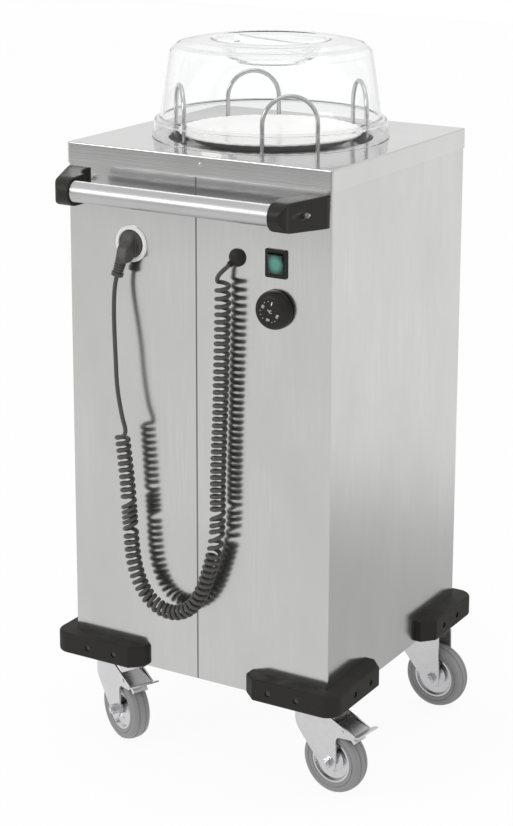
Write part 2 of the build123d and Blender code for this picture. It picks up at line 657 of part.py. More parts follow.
# ----------------------------------------------------------------- controls
def parking_socket():
    """Dummy socket that parks the plug: a ring on the panel and a cup behind it."""
    wall = SOCKET_BORE_R + SOCKET_WALL
    back = -SOCKET_DEPTH - SOCKET_BACK
    cup = turned(Polyline(
        (SOCKET_BORE_R, SOCKET_RING_T - 1), (SOCKET_BORE_R + 1, SOCKET_RING_T),
        (SOCKET_RING_R - 1.5, SOCKET_RING_T), (SOCKET_RING_R, 1.5), (SOCKET_RING_R, 0), (wall, 0),
        (wall, back), (0, back), (0, -SOCKET_DEPTH), (SOCKET_BORE_R, -SOCKET_DEPTH), close=True))
    for side in (-1, 1):
        hole = Pos(side * PIN_PITCH / 2, 0, -SOCKET_DEPTH - SOCKET_BACK / 2 + 1)
        cup -= hole * Cylinder(PIN_R + FIT / 2, SOCKET_BACK)
    return facing_out(SOCKET_X, SOCKET_DROP).location * cup


def plug():
    """Angled mains plug: a round face disc with two pins and a humped grip."""
    disc = Pos(0, 0, -SOCKET_DEPTH) * extrude(Circle(PLUG_R), SOCKET_DEPTH + PLUG_OUT)
    disc = chamfer(disc.faces().sort_by(Axis.Z)[-1].edges(), 1.5)
    # side view of the grip as (out from the panel, up from the socket's middle)
    side_view = make_face(FilletPolyline(
        (PLUG_OUT - 1, 17.5), (PLUG_OUT + 2, 17.5), (14, 5.5), (24, -1.5), (28.5, -15.5), (29, -24),
        (13.5, -24), (PLUG_OUT + 1, -19), (PLUG_OUT - 1, -19), (PLUG_OUT - 1, 17.5),
        radius=[0, 4, 8, 8, 8, 4, 5, 4, 0]))
    upright = Plane(origin=(0, 0, 0), x_dir=(0, 0, 1), z_dir=(-1, 0, 0))
    grip = extrude(upright * side_view, PLUG_BODY_W / 2, both=True)
    outline = [e for e in grip.edges() if abs((e % 0.5).X) < 0.5]
    grip = fillet([e for e in outline if (e @ 0.5).Z > PLUG_OUT + 1 and (e @ 0.5).Y > -23], PLUG_GRIP_ROUND)
    body = disc + grip
    for side in (-1, 1):
        body += Pos(side * PIN_PITCH / 2, 0, -SOCKET_DEPTH) * Cylinder(
            PIN_R, PIN_L, align=(Align.CENTER, Align.CENTER, Align.MAX))
    return facing_out(SOCKET_X, SOCKET_DROP).location * body


def plug_boot():
    """Ribbed strain relief between the plug and the cord."""
    start, end = cord_points(BOOT_ROUTE)
    length = (end - start).length
    rib, count = length / 11, 4
    outline = [(0, 0), (BOOT_R, 0)]
    for i in range(count):
        base = (2 * i + 1.4) * rib
        radius = BOOT_R + (BOOT_TIP_R - BOOT_R) * base / length
        outline += [(radius, base), (radius - 1.2, base), (radius - 1.2, base + rib), (radius, base + rib)]
    outline += [(BOOT_TIP_R + 1.4, length - 2.2 * rib), (BOOT_TIP_R + 1.4, length), (0, length)]
    body = turned(Polyline(*outline, close=True))
    return Plane(origin=start, z_dir=end - start).location * body - plug()


def cable_gland():
    """Domed gland: nut behind the panel, snout pointing down along the cord."""
    cap = turned(
        Line((0, -GLAND_NUT_T - SHEET), (GLAND_NUT_R, -GLAND_NUT_T - SHEET)),
        Line((GLAND_NUT_R, -GLAND_NUT_T - SHEET), (GLAND_NUT_R, -SHEET)),
        Line((GLAND_NUT_R, -SHEET), (GLAND_THREAD_R, -SHEET)),
        Line((GLAND_THREAD_R, -SHEET), (GLAND_THREAD_R, 0)),
        Line((GLAND_THREAD_R, 0), (GLAND_R, 0)),
        Line((GLAND_R, 0), (GLAND_R, 2)),
        ThreePointArc((GLAND_R, 2), (GLAND_R * 0.72, GLAND_H - 1.6), (0, GLAND_H)),
        Line((0, GLAND_H), (0, -GLAND_NUT_T - SHEET)))
    cap = facing_out(GLAND_X, GLAND_DROP).location * cap
    exit_point, after = cord_points(TAIL_ROUTE)[:2]
    back = (exit_point - after).normalized()
    snout = Cylinder(SNOUT_R, SNOUT_L, align=(Align.CENTER, Align.CENTER, Align.MIN))
    return cap + Plane(origin=exit_point, z_dir=back).location * snout


def rocker_profile(tilt):
    """Side view of the rocker as (up, out), turned about its hinge at the origin."""
    half = ROCKER_H / 2
    face = make_face(Polyline(
        (-half, 6.2), (0, 4.4), (half, 6.2), (half, 1.5), (5, -9), (-5, -9), (-half, 1.5), close=True))
    return Rot(0, 0, tilt) * face


def switch_frame():
    """Bezel with the rocker's well, and the switch body behind the panel."""
    rim = extrude(RectangleRounded(SWITCH_W, SWITCH_H, 3), SWITCH_PROUD)
    rim = chamfer(rim.faces().sort_by(Axis.Z)[-1].edges(), 1.0)
    body = extrude(Rectangle(ROCKER_W + 4, ROCKER_H + 4), -SWITCH_BODY_D)
    frame = rim + body
    well_h = ROCKER_H + 2 + 2 * ROCKER_GAP
    frame -= Pos(0, 0, 5 - 8) * Box(ROCKER_W + 2 * ROCKER_GAP, well_h, 26)
    for side in (-1, 1):
        frame += Pos(side * 8, -4, -SWITCH_BODY_D) * Box(0.8, 6.3, 16)
    return facing_out(SWITCH_X, SWITCH_DROP).location * frame


def switch_rocker():
    """Lit rocker, stored pressed in at its lower half."""
    # (up, out) in the profile becomes Y (up) and Z (out) of the switch's own plane
    side = Plane(origin=(-ROCKER_W / 2, 0, -1), x_dir=(0, 1, 0), z_dir=(1, 0, 0))
    body = extrude(side * rocker_profile(ROCKER_TILT), ROCKER_W)
    return facing_out(SWITCH_X, SWITCH_DROP).location * body


def thermostat_body():
    """Thermostat behind the panel, with its bush and shaft."""
    box = Pos(0, 0, -SHEET - THERMOSTAT_D / 2) * Box(THERMOSTAT_W, THERMOSTAT_H, THERMOSTAT_D)
    box = fillet(box.edges().filter_by(Axis.Z), 4)
    bush = Pos(0, 0, -SHEET) * Cylinder(BUSH_R, SHEET, align=(Align.CENTER, Align.CENTER, Align.MIN))
    shaft = Cylinder(SHAFT_R, KNOB_H - 2, align=(Align.CENTER, Align.CENTER, Align.MIN))
    return facing_out(KNOB_X, KNOB_DROP).location * (box + bush + shaft)


def thermostat_knob():
    """Flat dial with a fluted edge."""
    blank = turned(
        Line((SHAFT_R + RUN_FIT, KNOB_GAP), (KNOB_R, KNOB_GAP)),
        Line((KNOB_R, KNOB_GAP), (KNOB_R, KNOB_H - 3)),
        ThreePointArc((KNOB_R, KNOB_H - 3), (KNOB_R - 0.8, KNOB_H - 0.8), (KNOB_R - 3, KNOB_H)),
        Line((KNOB_R - 3, KNOB_H), (0, KNOB_H)),
        Line((0, KNOB_H), (0, KNOB_H - 1.5)),
        Line((0, KNOB_H - 1.5), (SHAFT_R + RUN_FIT, KNOB_H - 1.5)),
        Line((SHAFT_R + RUN_FIT, KNOB_H - 1.5), (SHAFT_R + RUN_FIT, KNOB_GAP)))
    flutes = copies(Cylinder(1.6, 3 * KNOB_H), PolarLocations(KNOB_R + 0.9, KNOB_FLUTES))
    return facing_out(KNOB_X, KNOB_DROP).location * (blank - flutes)


# ----------------------------------------------------------------- casters
def caster_pivot(corner):
    """Swivel axis of a caster."""
    side, end = corner[:2]
    return side * (CAB_W / 2 - CASTER_INSET), end * (CAB_D / 2 - CASTER_INSET)


CROWN_TOP = CASTER_H - 16
CROWN_T = 3.0
FORK_IN = TYRE_W / 2 + FORK_GAP
FORK_OUT = FORK_IN + FORK_SHEET
NOSE_X = -13.0            # centre of the fork's rounded nose
BRAKE_PIN = (62.0, 2 * WHEEL_R + 5)
ARM_TIP_X = CASTER_TRAIL + 48


def bolt_grid():
    """The four bolt holes of a caster plate."""
    return GridLocations(BOLT_PITCH, BOLT_PITCH, 2, 2)


def caster_plate():
    """Mounting plate with the upper race and the riveted kingpin."""
    plate = extrude(RectangleRounded(CASTER_PLATE, CASTER_PLATE, 6), CASTER_PLATE_T)
    plate -= copies(Cylinder(BOLT_HOLE_R, 4 * CASTER_PLATE_T), bolt_grid())
    under = CASTER_H - CASTER_PLATE_T
    race_low = CROWN_TOP + 0.4
    head_top = CROWN_TOP - CROWN_T - 0.3
    head = turned(Polyline(
        (0, under), (RACE_R, under), (RACE_R, race_low), (KINGPIN_R, race_low), (KINGPIN_R, head_top),
        (KINGPIN_HEAD_R, head_top), (KINGPIN_HEAD_R, head_top - 2), (KINGPIN_HEAD_R - 2, head_top - 4),
        (0, head_top - 4), close=True))
    return Pos(0, 0, under) * plate + head


def fork_side(braked):
    """Side view of the fork as (along the trail, height)."""
    axle = (CASTER_TRAIL, WHEEL_R)
    nose = (NOSE_X - FORK_OUT - 1, CROWN_TOP - 14)
    # tangent from the nose to the lower left of the axle boss
    reach = hypot(axle[0] - nose[0], axle[1] - nose[1])
    slope = atan2(axle[1] - nose[1], axle[0] - nose[0])
    swing = atan2(FORK_BOSS_R, reach)
    touch = (nose[0] + reach * cos(swing) * cos(slope - swing), nose[1] + reach * cos(swing) * sin(slope - swing))
    heel = axle[0] + FORK_BOSS_R
    outline = [(nose[0], CROWN_TOP), nose, touch, axle, (heel, axle[1])]
    if braked:
        outline += [(heel, 2 * WHEEL_R - 6), (ARM_TIP_X - 4, 2 * WHEEL_R - 3),
                    (ARM_TIP_X, 2 * WHEEL_R + 3), (CASTER_TRAIL + 2, CROWN_TOP)]
    else:
        outline += [(heel - 2, CROWN_TOP)]
    view = make_face(Polyline(*outline, close=True)) + Pos(*axle) * Circle(FORK_BOSS_R)
    return fillet(view.vertices().sort_by(lambda v: hypot(v.X - heel, v.Y - 2 * WHEEL_R + 6))[0], 8) \
        if braked else view


def caster_fork(braked):
    """Fork pressed from one sheet: two legs and a rounded nose under the crown."""
    tail = ARM_TIP_X + 10
    slot = lambda r, end: Pos((NOSE_X + end) / 2, 0) * Rectangle(end - NOSE_X, 2 * r) + Pos(NOSE_X, 0) * Circle(r)
    wall = extrude(slot(FORK_OUT, tail) - slot(FORK_IN, tail + 1), CROWN_TOP)
    side = extrude(Plane.XZ * fork_side(braked), FORK_OUT + 5, both=True)
    fork = wall & side
    crown = Pos(0, 0, CROWN_TOP - CROWN_T) * extrude(slot(FORK_IN + 1, 30), CROWN_T)
    bowl = turned(Polyline(
        (RACE_R + 1, CROWN_TOP), (RACE_R + 1, CROWN_TOP + 8), (RACE_R + 4, CROWN_TOP + 8),
        (RACE_R + 8, CROWN_TOP + 4), (RACE_R + 8, CROWN_TOP - CROWN_T), (RACE_R - 2, CROWN_TOP - CROWN_T),
        (RACE_R - 2, CROWN_TOP), close=True))
    fork += crown + bowl
    fork -= Pos(0, 0, CROWN_TOP) * Cylinder(KINGPIN_R + RUN_FIT, 20)
    fork -= Pos(CASTER_TRAIL, 0, WHEEL_R) * Rot(90, 0, 0) * Cylinder(AXLE_R, 4 * FORK_OUT)
    if braked:
        x, z = BRAKE_PIN
        fork += Pos(x, 0, z) * Rot(90, 0, 0) * Cylinder(BRAKE_PIN_R, 2 * FORK_OUT + 2)
    return fork


def caster_axle():
    """Hexagon bolt with its nut, clamped in the fork."""
    along_y = Rot(90, 0, 0)
    bolt = along_y * Cylinder(AXLE_R, 2 * (FORK_OUT + NUT_T + 2))
    bolt &= Pos(0, -2, 0) * Box(60, 2 * (FORK_OUT + NUT_T) , 60)
    hexagon = extrude(RegularPolygon(NUT_AF / 2, 6, major_radius=False), NUT_T)
    washer = extrude(Circle(NUT_AF / 2 + 1.6), 1.2)
    nut_side = along_y * Pos(0, 0, FORK_OUT) * (hexagon + washer)
    head_side = Rot(-90, 0, 0) * Pos(0, 0, FORK_OUT) * hexagon
    return Pos(CASTER_TRAIL, 0, WHEEL_R) * (bolt + nut_side + head_side)


def wheel_rim():
    """Dished pressed-steel disc with its hub tube."""
    seat = WHEEL_R - TYRE_DEPTH
    hub_w = FORK_IN - 0.5
    bead = TYRE_W / 2 - 2.5
    half = [(AXLE_R + RUN_FIT, hub_w), (HUB_R - 1, hub_w), (HUB_R, hub_w - 1), (HUB_R, hub_w - 6),
            (HUB_R + 9, bead - 5), (seat - 5, bead - 4), (seat - 2.5, bead), (seat, bead)]
    outline = half + [(r, -w) for r, w in reversed(half)]
    disc = turned(Polyline(*outline, close=True))
    return Pos(CASTER_TRAIL, 0, WHEEL_R) * Rot(90, 0, 0) * disc


def tyre():
    """Rubber tyre: stepped side walls, and a tread with two grooves."""
    seat = WHEEL_R - TYRE_DEPTH
    half_w = TYRE_W / 2
    half = [(seat, half_w - 2.5), (seat + 1.2, half_w - 1.2), (seat + 5.5, half_w - 0.6),
            (seat + 6.3, half_w - 1.6), (seat + 7.5, half_w - 0.4), (seat + 11, half_w),
            (WHEEL_R - 2.6, half_w - 2.2), (WHEEL_R - 1, half_w - 6.2), (WHEEL_R - 0.4, half_w - 8.6),
            (WHEEL_R - 1.3, half_w - 9.2), (WHEEL_R - 1.3, half_w - 10.2), (WHEEL_R, half_w - 10.8)]
    outline = half + [(r, -w) for r, w in reversed(half)]
    ring = turned(Polyline(*outline, close=True))
    return Pos(CASTER_TRAIL, 0, WHEEL_R) * Rot(90, 0, 0) * ring


def brake_pedal():
    """Foot lever with a brake shoe over the tread."""
    cheek_y = FORK_IN - 1.2
    pin_x, pin_z = BRAKE_PIN
    plate_z = pin_z + 6
    plate = make_face(Polyline(
        (pin_x - 12, plate_z + 2), (ARM_TIP_X - 1, plate_z - 7), (ARM_TIP_X + 9, plate_z - 4),
        (ARM_TIP_X + 10, plate_z - 6), (ARM_TIP_X - 1, plate_z - 9), (pin_x - 12, plate_z), close=True))
    tab = make_face(Polyline(
        (ARM_TIP_X + 1, plate_z - 6.4), (ARM_TIP_X + 9, plate_z - 4), (ARM_TIP_X + 10, plate_z - 6),
        (ARM_TIP_X + 1, plate_z - 8.5), close=True))
    cheek = make_face(Polyline(
        (pin_x - 8, plate_z + 0.5), (ARM_TIP_X - 4, plate_z - 7), (ARM_TIP_X - 6, plate_z - 11),
        (pin_x, pin_z - 5), (pin_x - 7, pin_z - 2), close=True))
    across = lambda sketch, half: extrude(Plane.XZ * sketch, half, both=True)
    pedal = across(plate, cheek_y) + across(tab, cheek_y + 7)
    pedal += across(cheek, cheek_y) - across(cheek, cheek_y - 2)
    inner = WHEEL_R + BRAKE_CLEAR
    sector = make_face(Polyline((0, 0), (100, 90), (62, 100), close=True))
    shoe = Pos(CASTER_TRAIL, WHEEL_R) * ((Circle(inner + 6) - Circle(inner)) & sector)
    stem = make_face(Polyline(
        (CASTER_TRAIL + 39, plate_z - 15), (ARM_TIP_X - 6, plate_z - 15), (ARM_TIP_X - 7, plate_z - 6),
        (CASTER_TRAIL + 34, plate_z - 5), close=True))
    pedal += across(shoe, TYRE_W / 2 - 3) + across(stem, TYRE_W / 2 - 5)
    pedal -= Pos(pin_x, 0, pin_z) * Rot(90, 0, 0) * Cylinder(BRAKE_PIN_R + RUN_FIT, 4 * FORK_OUT)
    return pedal


# ----------------------------------------------------------------- build
os.makedirs("parts", exist_ok=True)

save("housing_left", housing_left())
save("housing_right", housing_right())
save("worktop", worktop())
save("worktop_rivets", *worktop_rivets())
save("floor_pan", floor_pan())
save("well_liner", well_liner())
for number in range(4):
    save(f"guide_hoop_{number + 1}", guide_hoop(45 + HOOP_TURN + 90 * number))
save("platform_disc", platform_disc())
save("platform_carriage", platform_carriage())
save("glide_pads", *glide_pads())
save("lift_springs", *lift_springs())
save("dinner_plate", dinner_plate())
save("heater_element", heater_element())
save("heater_guard", heater_guard())
save("dome_cover", dome_cover())
save("push_handle_tube", push_handle_tube())
save("handle_bracket_left", handle_bracket(-1))
save("handle_bracket_right", handle_bracket(1))
save("handle_screws", *handle_screws())
save("bumper_screws", *bumper_screws())
save("parking_socket", parking_socket())
save("plug", plug())
save("plug_boot", plug_boot())
save("cable_gland", cable_gland())
save("switch_frame", switch_frame())
save("switch_rocker", switch_rocker())
save("thermostat_body", thermostat_body())
save("thermostat_knob", thermostat_knob())
save("cord_tail", cord_tube(TAIL_ROUTE, CORD_R))
save("cord_coil", cord_tube(COIL_ROUTE, COIL_R))
save("cord_lead", cord_tube(LEAD_ROUTE, CORD_R))
for corner_name, corner in CASTERS.items():
    side, end, turn, braked = corner
    save(f"bumper_{corner_name}", bumper(side, end))
    fixed = Pos(*caster_pivot(corner), 0)
    swivelled = fixed * Rot(0, 0, turn)
    save(f"caster_plate_{corner_name}", fixed * caster_plate())
    save(f"caster_fork_{corner_name}", swivelled * caster_fork(braked))
    save(f"caster_axle_{corner_name}", swivelled * caster_axle())
    save(f"wheel_rim_{corner_name}", swivelled * wheel_rim())
    save(f"tyre_{corner_name}", swivelled * tyre())
    if braked:
        save(f"brake_pedal_{corner_name}", swivelled * brake_pedal())
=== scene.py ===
import bmesh
import bpy
import json
from math import atan2, cos, exp, pi, radians, sin, tan, tau
from mathutils import Matrix, Vector


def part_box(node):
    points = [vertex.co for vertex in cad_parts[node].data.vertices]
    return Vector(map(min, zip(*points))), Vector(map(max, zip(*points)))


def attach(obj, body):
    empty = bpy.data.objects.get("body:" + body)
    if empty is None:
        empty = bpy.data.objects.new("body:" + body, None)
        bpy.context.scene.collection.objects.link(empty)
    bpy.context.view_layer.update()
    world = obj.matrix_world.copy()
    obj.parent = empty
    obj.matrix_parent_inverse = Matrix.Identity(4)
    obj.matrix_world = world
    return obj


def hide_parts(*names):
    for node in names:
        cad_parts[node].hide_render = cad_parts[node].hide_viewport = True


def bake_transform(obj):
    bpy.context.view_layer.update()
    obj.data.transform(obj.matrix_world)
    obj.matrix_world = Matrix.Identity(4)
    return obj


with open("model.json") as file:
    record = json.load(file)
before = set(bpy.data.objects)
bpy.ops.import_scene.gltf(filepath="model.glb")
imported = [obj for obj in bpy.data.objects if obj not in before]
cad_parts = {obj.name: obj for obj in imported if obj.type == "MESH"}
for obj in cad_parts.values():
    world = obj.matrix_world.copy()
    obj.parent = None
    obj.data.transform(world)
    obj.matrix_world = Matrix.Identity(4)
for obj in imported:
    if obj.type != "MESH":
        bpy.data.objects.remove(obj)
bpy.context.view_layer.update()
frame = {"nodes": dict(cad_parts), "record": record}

NODES = frame["nodes"]
SLOT_OF = {row["node"]: row["material_slot"] for row in frame["record"]["subparts"]}
PANEL_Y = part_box("housing_left")[0].y           # the front panel's face


# --------------------------------------------------------------------------- camera
PHOTO_W, PHOTO_H = 513, 826
FOCAL_PX = 2054.05
CENTRE_PX = (304.4, 263.0)                      # where the view axis meets the picture
CAMERA_AT = Vector((1.5211, -2.5809, 1.4278))
YAW, PITCH_DOWN, ROLL = radians(-29.54), radians(13.16), radians(0.435)
SENSOR_MM = 36.0


def make_camera():
    """Camera at the photograph's viewing angle; its shift puts the view axis off the middle."""
    ahead = Vector((sin(YAW) * cos(PITCH_DOWN), cos(YAW) * cos(PITCH_DOWN), -sin(PITCH_DOWN)))
    level = Vector((cos(YAW), -sin(YAW), 0.0))
    up = level.cross(ahead)
    right = cos(ROLL) * level + sin(ROLL) * up
    top = cos(ROLL) * up - sin(ROLL) * level
    data = bpy.data.cameras.new("camera")
    data.sensor_width = SENSOR_MM
    data.lens = FOCAL_PX * SENSOR_MM / PHOTO_H
    data.shift_x = (PHOTO_W / 2 - CENTRE_PX[0]) / PHOTO_H
    data.shift_y = (CENTRE_PX[1] - PHOTO_H / 2) / PHOTO_H
    data.clip_start, data.clip_end = 0.05, 60.0
    camera = bpy.data.objects.new("camera", data)
    turn = Matrix((right, top, -ahead)).transposed()
    camera.matrix_world = Matrix.Translation(CAMERA_AT) @ turn.to_4x4()
    bpy.context.scene.collection.objects.link(camera)
    bpy.context.scene.camera = camera


make_camera()


# --------------------------------------------------------------------------- helpers
def link(data, name):
    """New object holding the data, in the scene."""
    made = bpy.data.objects.new(name, data)
    bpy.context.scene.collection.objects.link(made)
    return made


def baked(carrier):
    """Mesh of a curve or text object, which goes."""
    mesh = bpy.data.meshes.new_from_object(carrier)
    data = carrier.data
    bpy.data.objects.remove(carrier)
    bpy.data.curves.remove(data)
    return mesh


def new_mesh(name, verts, faces, sharp=35):
    """Object with a smooth-shaded mesh whose corners above that many degrees stay sharp."""
    data = bpy.data.meshes.new(name)
    data.from_pydata(verts, [], faces)
    solid = bmesh.new()
    solid.from_mesh(data)
    bmesh.ops.recalc_face_normals(solid, faces=solid.faces)
    solid.to_mesh(data)
    solid.free()
    data.shade_smooth()
    data.set_sharp_from_angle(angle=radians(sharp))
    return link(data, name)


def skinned(rings):
    """Vertices and faces of a closed solid through rings of points, with flat ends."""
    count = len(rings[0])
    verts = [point for ring in rings for point in ring]
    faces = [tuple(range(count)), tuple(range(len(verts) - count, len(verts)))]
    for start in range(0, len(verts) - count, count):
        for k in range(count):
            a, b = start + k, start + (k + 1) % count
            faces.append((a, b, b + count, a + count))
    return verts, faces


def merged(parts):
    """Vertices and faces of several solids as one mesh."""
    verts, faces = [], []
    for some, joins in parts:
        faces += [tuple(len(verts) + i for i in face) for face in joins]
        verts += some
    return verts, faces


def lathe(name, profile, place, segments, sharp):
    """Turned piece: place(radius, angle, height), in metres, gives the points of each ring."""
    rings = [[place(radius / 1000, tau * k / segments, height / 1000) for k in range(segments)]
             for radius, height in profile]
    return new_mesh(name, *skinned(rings), sharp)


def wire(path, radius, sides=6):
    """Vertices and faces of a round wire along the path."""
    rings = []
    side = Vector((1.0, 0.0, 0.0))
    for i, at in enumerate(path):
        along = (path[min(i + 1, len(path) - 1)] - path[max(i - 1, 0)]).normalized()
        side = side - side.dot(along) * along
        if side.length < 0.1:
            side = along.orthogonal()
        side.normalize()
        across = along.cross(side)
        angles = [tau * k / sides for k in range(sides)]
        rings.append([at + radius * (cos(angle) * side + sin(angle) * across) for angle in angles])
    return skinned(rings)


LEAST_ROUNDING = 0.1                            # millimetres, at a sharp corner
LONGEST_REACH = 0.45                            # of each run that meets in a corner
LEAST_SPREAD = 0.35                             # keeps the wall's offset short in a sharp corner
LEAST_SLOPE = 0.05


def rounded(corners, shrink, steps):
    """The (radius, height, rounding) outline with round corners; shrink moves it into the wall."""
    flat = [Vector((radius, height)) for radius, height, _ in corners]
    moved = []
    for i, at in enumerate(flat):
        normals = []
        for a, b in ((i - 1, i), (i, i + 1)):
            if 0 <= a and b < len(flat):
                run = (flat[b] - flat[a]).normalized()
                normals.append(Vector((-run.y, run.x)))
        middle = sum(normals, Vector((0, 0))).normalized()
        moved.append(at + middle * shrink / max(LEAST_SPREAD, middle.dot(normals[0])))
    points = [moved[0]]
    for i in range(1, len(moved) - 1):
        into, out = moved[i - 1] - moved[i], moved[i + 1] - moved[i]
        slope = max(tan(into.angle(out) / 2), LEAST_SLOPE)
        reach = (corners[i][2] or LEAST_ROUNDING) / slope
        reach = min(reach, LONGEST_REACH * into.length, LONGEST_REACH * out.length)
        start, end = moved[i] + into.normalized() * reach, moved[i] + out.normalized() * reach
        for k in range(steps + 1):
            t = k / steps
            points.append(start.lerp(moved[i], t).lerp(moved[i].lerp(end, t), t))
    points.append(moved[-1])
    return [(point.x, point.y) for point in points]


# --------------------------------------------------------------------------- softened mouldings
PLUG_VOXEL, BRACKET_VOXEL = 0.0006, 0.0009
SMOOTHING_PASSES = 14


def softened(name, node, voxel):
    """Copy of a CAD piece with the soft edges of a moulding, in the piece's place."""
    piece = link(NODES[node].data.copy(), name)
    remesh = piece.modifiers.new("remesh", "REMESH")
    remesh.mode = "VOXEL"
    remesh.voxel_size = voxel
    smooth = piece.modifiers.new("smooth", "SMOOTH")
    smooth.iterations = SMOOTHING_PASSES
    shape = bpy.data.meshes.new_from_object(piece.evaluated_get(bpy.context.evaluated_depsgraph_get()))
    shape.shade_smooth()
    piece.modifiers.clear()
    piece.data = shape
    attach(piece, "cabinet")
    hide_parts(node)
    return piece


PLUG_BODY = softened("plug_moulding", "plug", PLUG_VOXEL)
BRACKETS = [softened("bracket_moulding_" + side, "handle_bracket_" + side, BRACKET_VOXEL)
            for side in ("left", "right")]


# --------------------------------------------------------------------------- mains lead
# Route points are (x, out from the front panel, height), in metres.
CORD_EXIT = (0.0595, 0.008, 0.774)
TAIL_ROUTE = [CORD_EXIT, (0.056, 0.0132, 0.7692), (0.0523, 0.0183, 0.7643), (0.0488, 0.022, 0.7586)]
COIL_ROUTE = [
    (0.0575, 0.022, 0.752), (0.058, 0.022, 0.722), (0.0562, 0.022, 0.663), (0.0546, 0.022, 0.603),
    (0.0532, 0.0223, 0.5555), (0.0512, 0.0228, 0.5076), (0.0496, 0.0234, 0.448),
    (0.0496, 0.0232, 0.396), (0.0458, 0.0238, 0.357), (0.0354, 0.0244, 0.321),
    (0.0246, 0.0246, 0.290), (0.0115, 0.0248, 0.2665), (-0.005, 0.0248, 0.252),
    (-0.024, 0.0244, 0.2444), (-0.0434, 0.024, 0.245), (-0.0608, 0.0246, 0.2526),
    (-0.075, 0.026, 0.2672), (-0.086, 0.028, 0.289), (-0.0934, 0.030, 0.322),
    (-0.0964, 0.031, 0.376), (-0.1005, 0.031, 0.441), (-0.1072, 0.033, 0.506)]
LET_GO = [(-0.0988, 0.0362, 0.5112), (-0.1008, 0.0352, 0.5205), (-0.1060, 0.0346, 0.5335)]
LEAD_ROUTE = [
    (-0.114, 0.0352, 0.577), (-0.1162, 0.0338, 0.617), (-0.120, 0.0308, 0.657),
    (-0.1234, 0.0268, 0.690), (-0.1242, 0.0236, 0.716), (-0.1225, 0.02236, 0.7319),
    (-0.1201, 0.022, 0.740)]

CORD_R = 0.00315
TURN_R = 0.0086                                 # coil's axis to the cord's middle
TURN_POINTS = 14                                # control points in one turn
CONTROL_R = TURN_R / (0.75 + 0.25 * cos(tau / TURN_POINTS))     # the spline runs inside these
AXIS_RESOLUTION, CORD_RESOLUTION, LENGTH_RESOLUTION = 24, 3, 4
# (way along the coil from the gland, turn to turn), in millimetres
TURN_PITCH = [
    (0, 12.7), (22, 12.0), (35, 11.2), (60, 10.4), (130, 10.0), (250, 9.5), (340, 9.3),
    (400, 9.7), (480, 9.7), (500, 9.0), (600, 9.0), (620, 9.9), (690, 9.9), (694, 7.8),
    (732, 7.8), (740, 9.9)]
KINKS = (344, 378, 396, 692, 734)               # turns pulled apart where the lead was strained
KINK_WIDTH, KINK_PULL = 4.0, 1.5
SLANTS = [(344, 396, 0.0022), (692, 734, 0.0028)]   # stretches whose turns lean, and by how much
UNEVEN = [(0.018, 47), (0.012, 19)]             # (share of the turn's radius, way of one radian)
FIRST_TURN_SIDE = (-1.0, 0.0, 0.0)              # where the first turn starts
LAST_TURN_SIDE = (0.79, -0.61, 0.0)             # where the last turn lets go of the coil


def off_panel(route):
    return [Vector((x, PANEL_Y - off, z)) for x, off, z in route]


def spline_curve(name, points):
    """Curve of one open NURBS spline with the points as its control points."""
    data = bpy.data.curves.new(name, "CURVE")
    data.dimensions = "3D"
    spline = data.splines.new("NURBS")
    spline.points.add(len(points) - 1)
    for target, place in zip(spline.points, points):
        target.co = (*place, 1.0)
    spline.order_u = 3
    spline.use_endpoint_u = True
    return data


def read_line(points, resolution):
    """Points along the smooth line of a route, closer together as the resolution grows."""
    data = spline_curve("route", points)
    data.resolution_u = resolution
    mesh = baked(link(data, "route"))
    line = [v.co.copy() for v in mesh.vertices]
    bpy.data.meshes.remove(mesh)
    return line


def line_length(line):
    return sum((b - a).length for a, b in zip(line, line[1:]))


def pitch_at(way):
    """Turn to turn at that way along the coil, in metres."""
    way *= 1000
    pitch = TURN_PITCH[-1][1]
    for (w0, p0), (w1, p1) in zip(TURN_PITCH, TURN_PITCH[1:]):
        if way < w1:
            pitch = p0 + (p1 - p0) * max(0.0, way - w0) / (w1 - w0)
            break
    pull = sum(exp(-((way - kink) / KINK_WIDTH) ** 2) for kink in KINKS)
    return pitch * (1 + KINK_PULL * pull) / 1000


def coil_stations(line):
    """Stations on the coil's axis: point, along, side, way so far, turns so far."""
    stations = []
    side, way, turns = Vector(FIRST_TURN_SIDE), 0.0, 0.0
    for before, after in zip(line, line[1:]):
        run = after - before
        along = run.normalized()
        side = (side - side.dot(along) * along).normalized()
        stations.append((before, along, side, way, turns))
        way += run.length
        turns += run.length / pitch_at(way - run.length / 2)
    stations.append((line[-1], along, side, way, turns))
    return stations


def helix_points(axis_points):
    """Control points of the turns round the coil's smooth axis."""
    stations = coil_stations(read_line(axis_points, AXIS_RESOLUTION))
    _, along, side, _, turns = stations[-1]
    let_go = Vector(LAST_TURN_SIDE)
    last = (atan2(let_go.dot(along.cross(side)), let_go.dot(side)) / tau) % 1.0
    scale = (int(turns - last) + last) / turns  # so that the last turn ends on that side
    points, here = [], 0
    for step in range(round(turns * scale * TURN_POINTS) + 1):
        turn = min(step / TURN_POINTS / scale, turns)
        while here < len(stations) - 2 and stations[here + 1][4] <= turn:
            here += 1
        (start, along, side, way, begun), (end, _, _, end_way, done) = stations[here:here + 2]
        share = (turn - begun) / (done - begun)
        at = 1000 * (way + (end_way - way) * share)
        angle = turn * scale * tau
        radial = cos(angle) * side + sin(angle) * along.cross(side)
        lean = sum(slant for w0, w1, slant in SLANTS if w0 < at < w1)
        size = CONTROL_R * (1 + sum(swing * sin(at / wave) for swing, wave in UNEVEN))
        points.append(start.lerp(end, share) + size * radial + Vector((0, 0, lean * radial.x)))
    return points


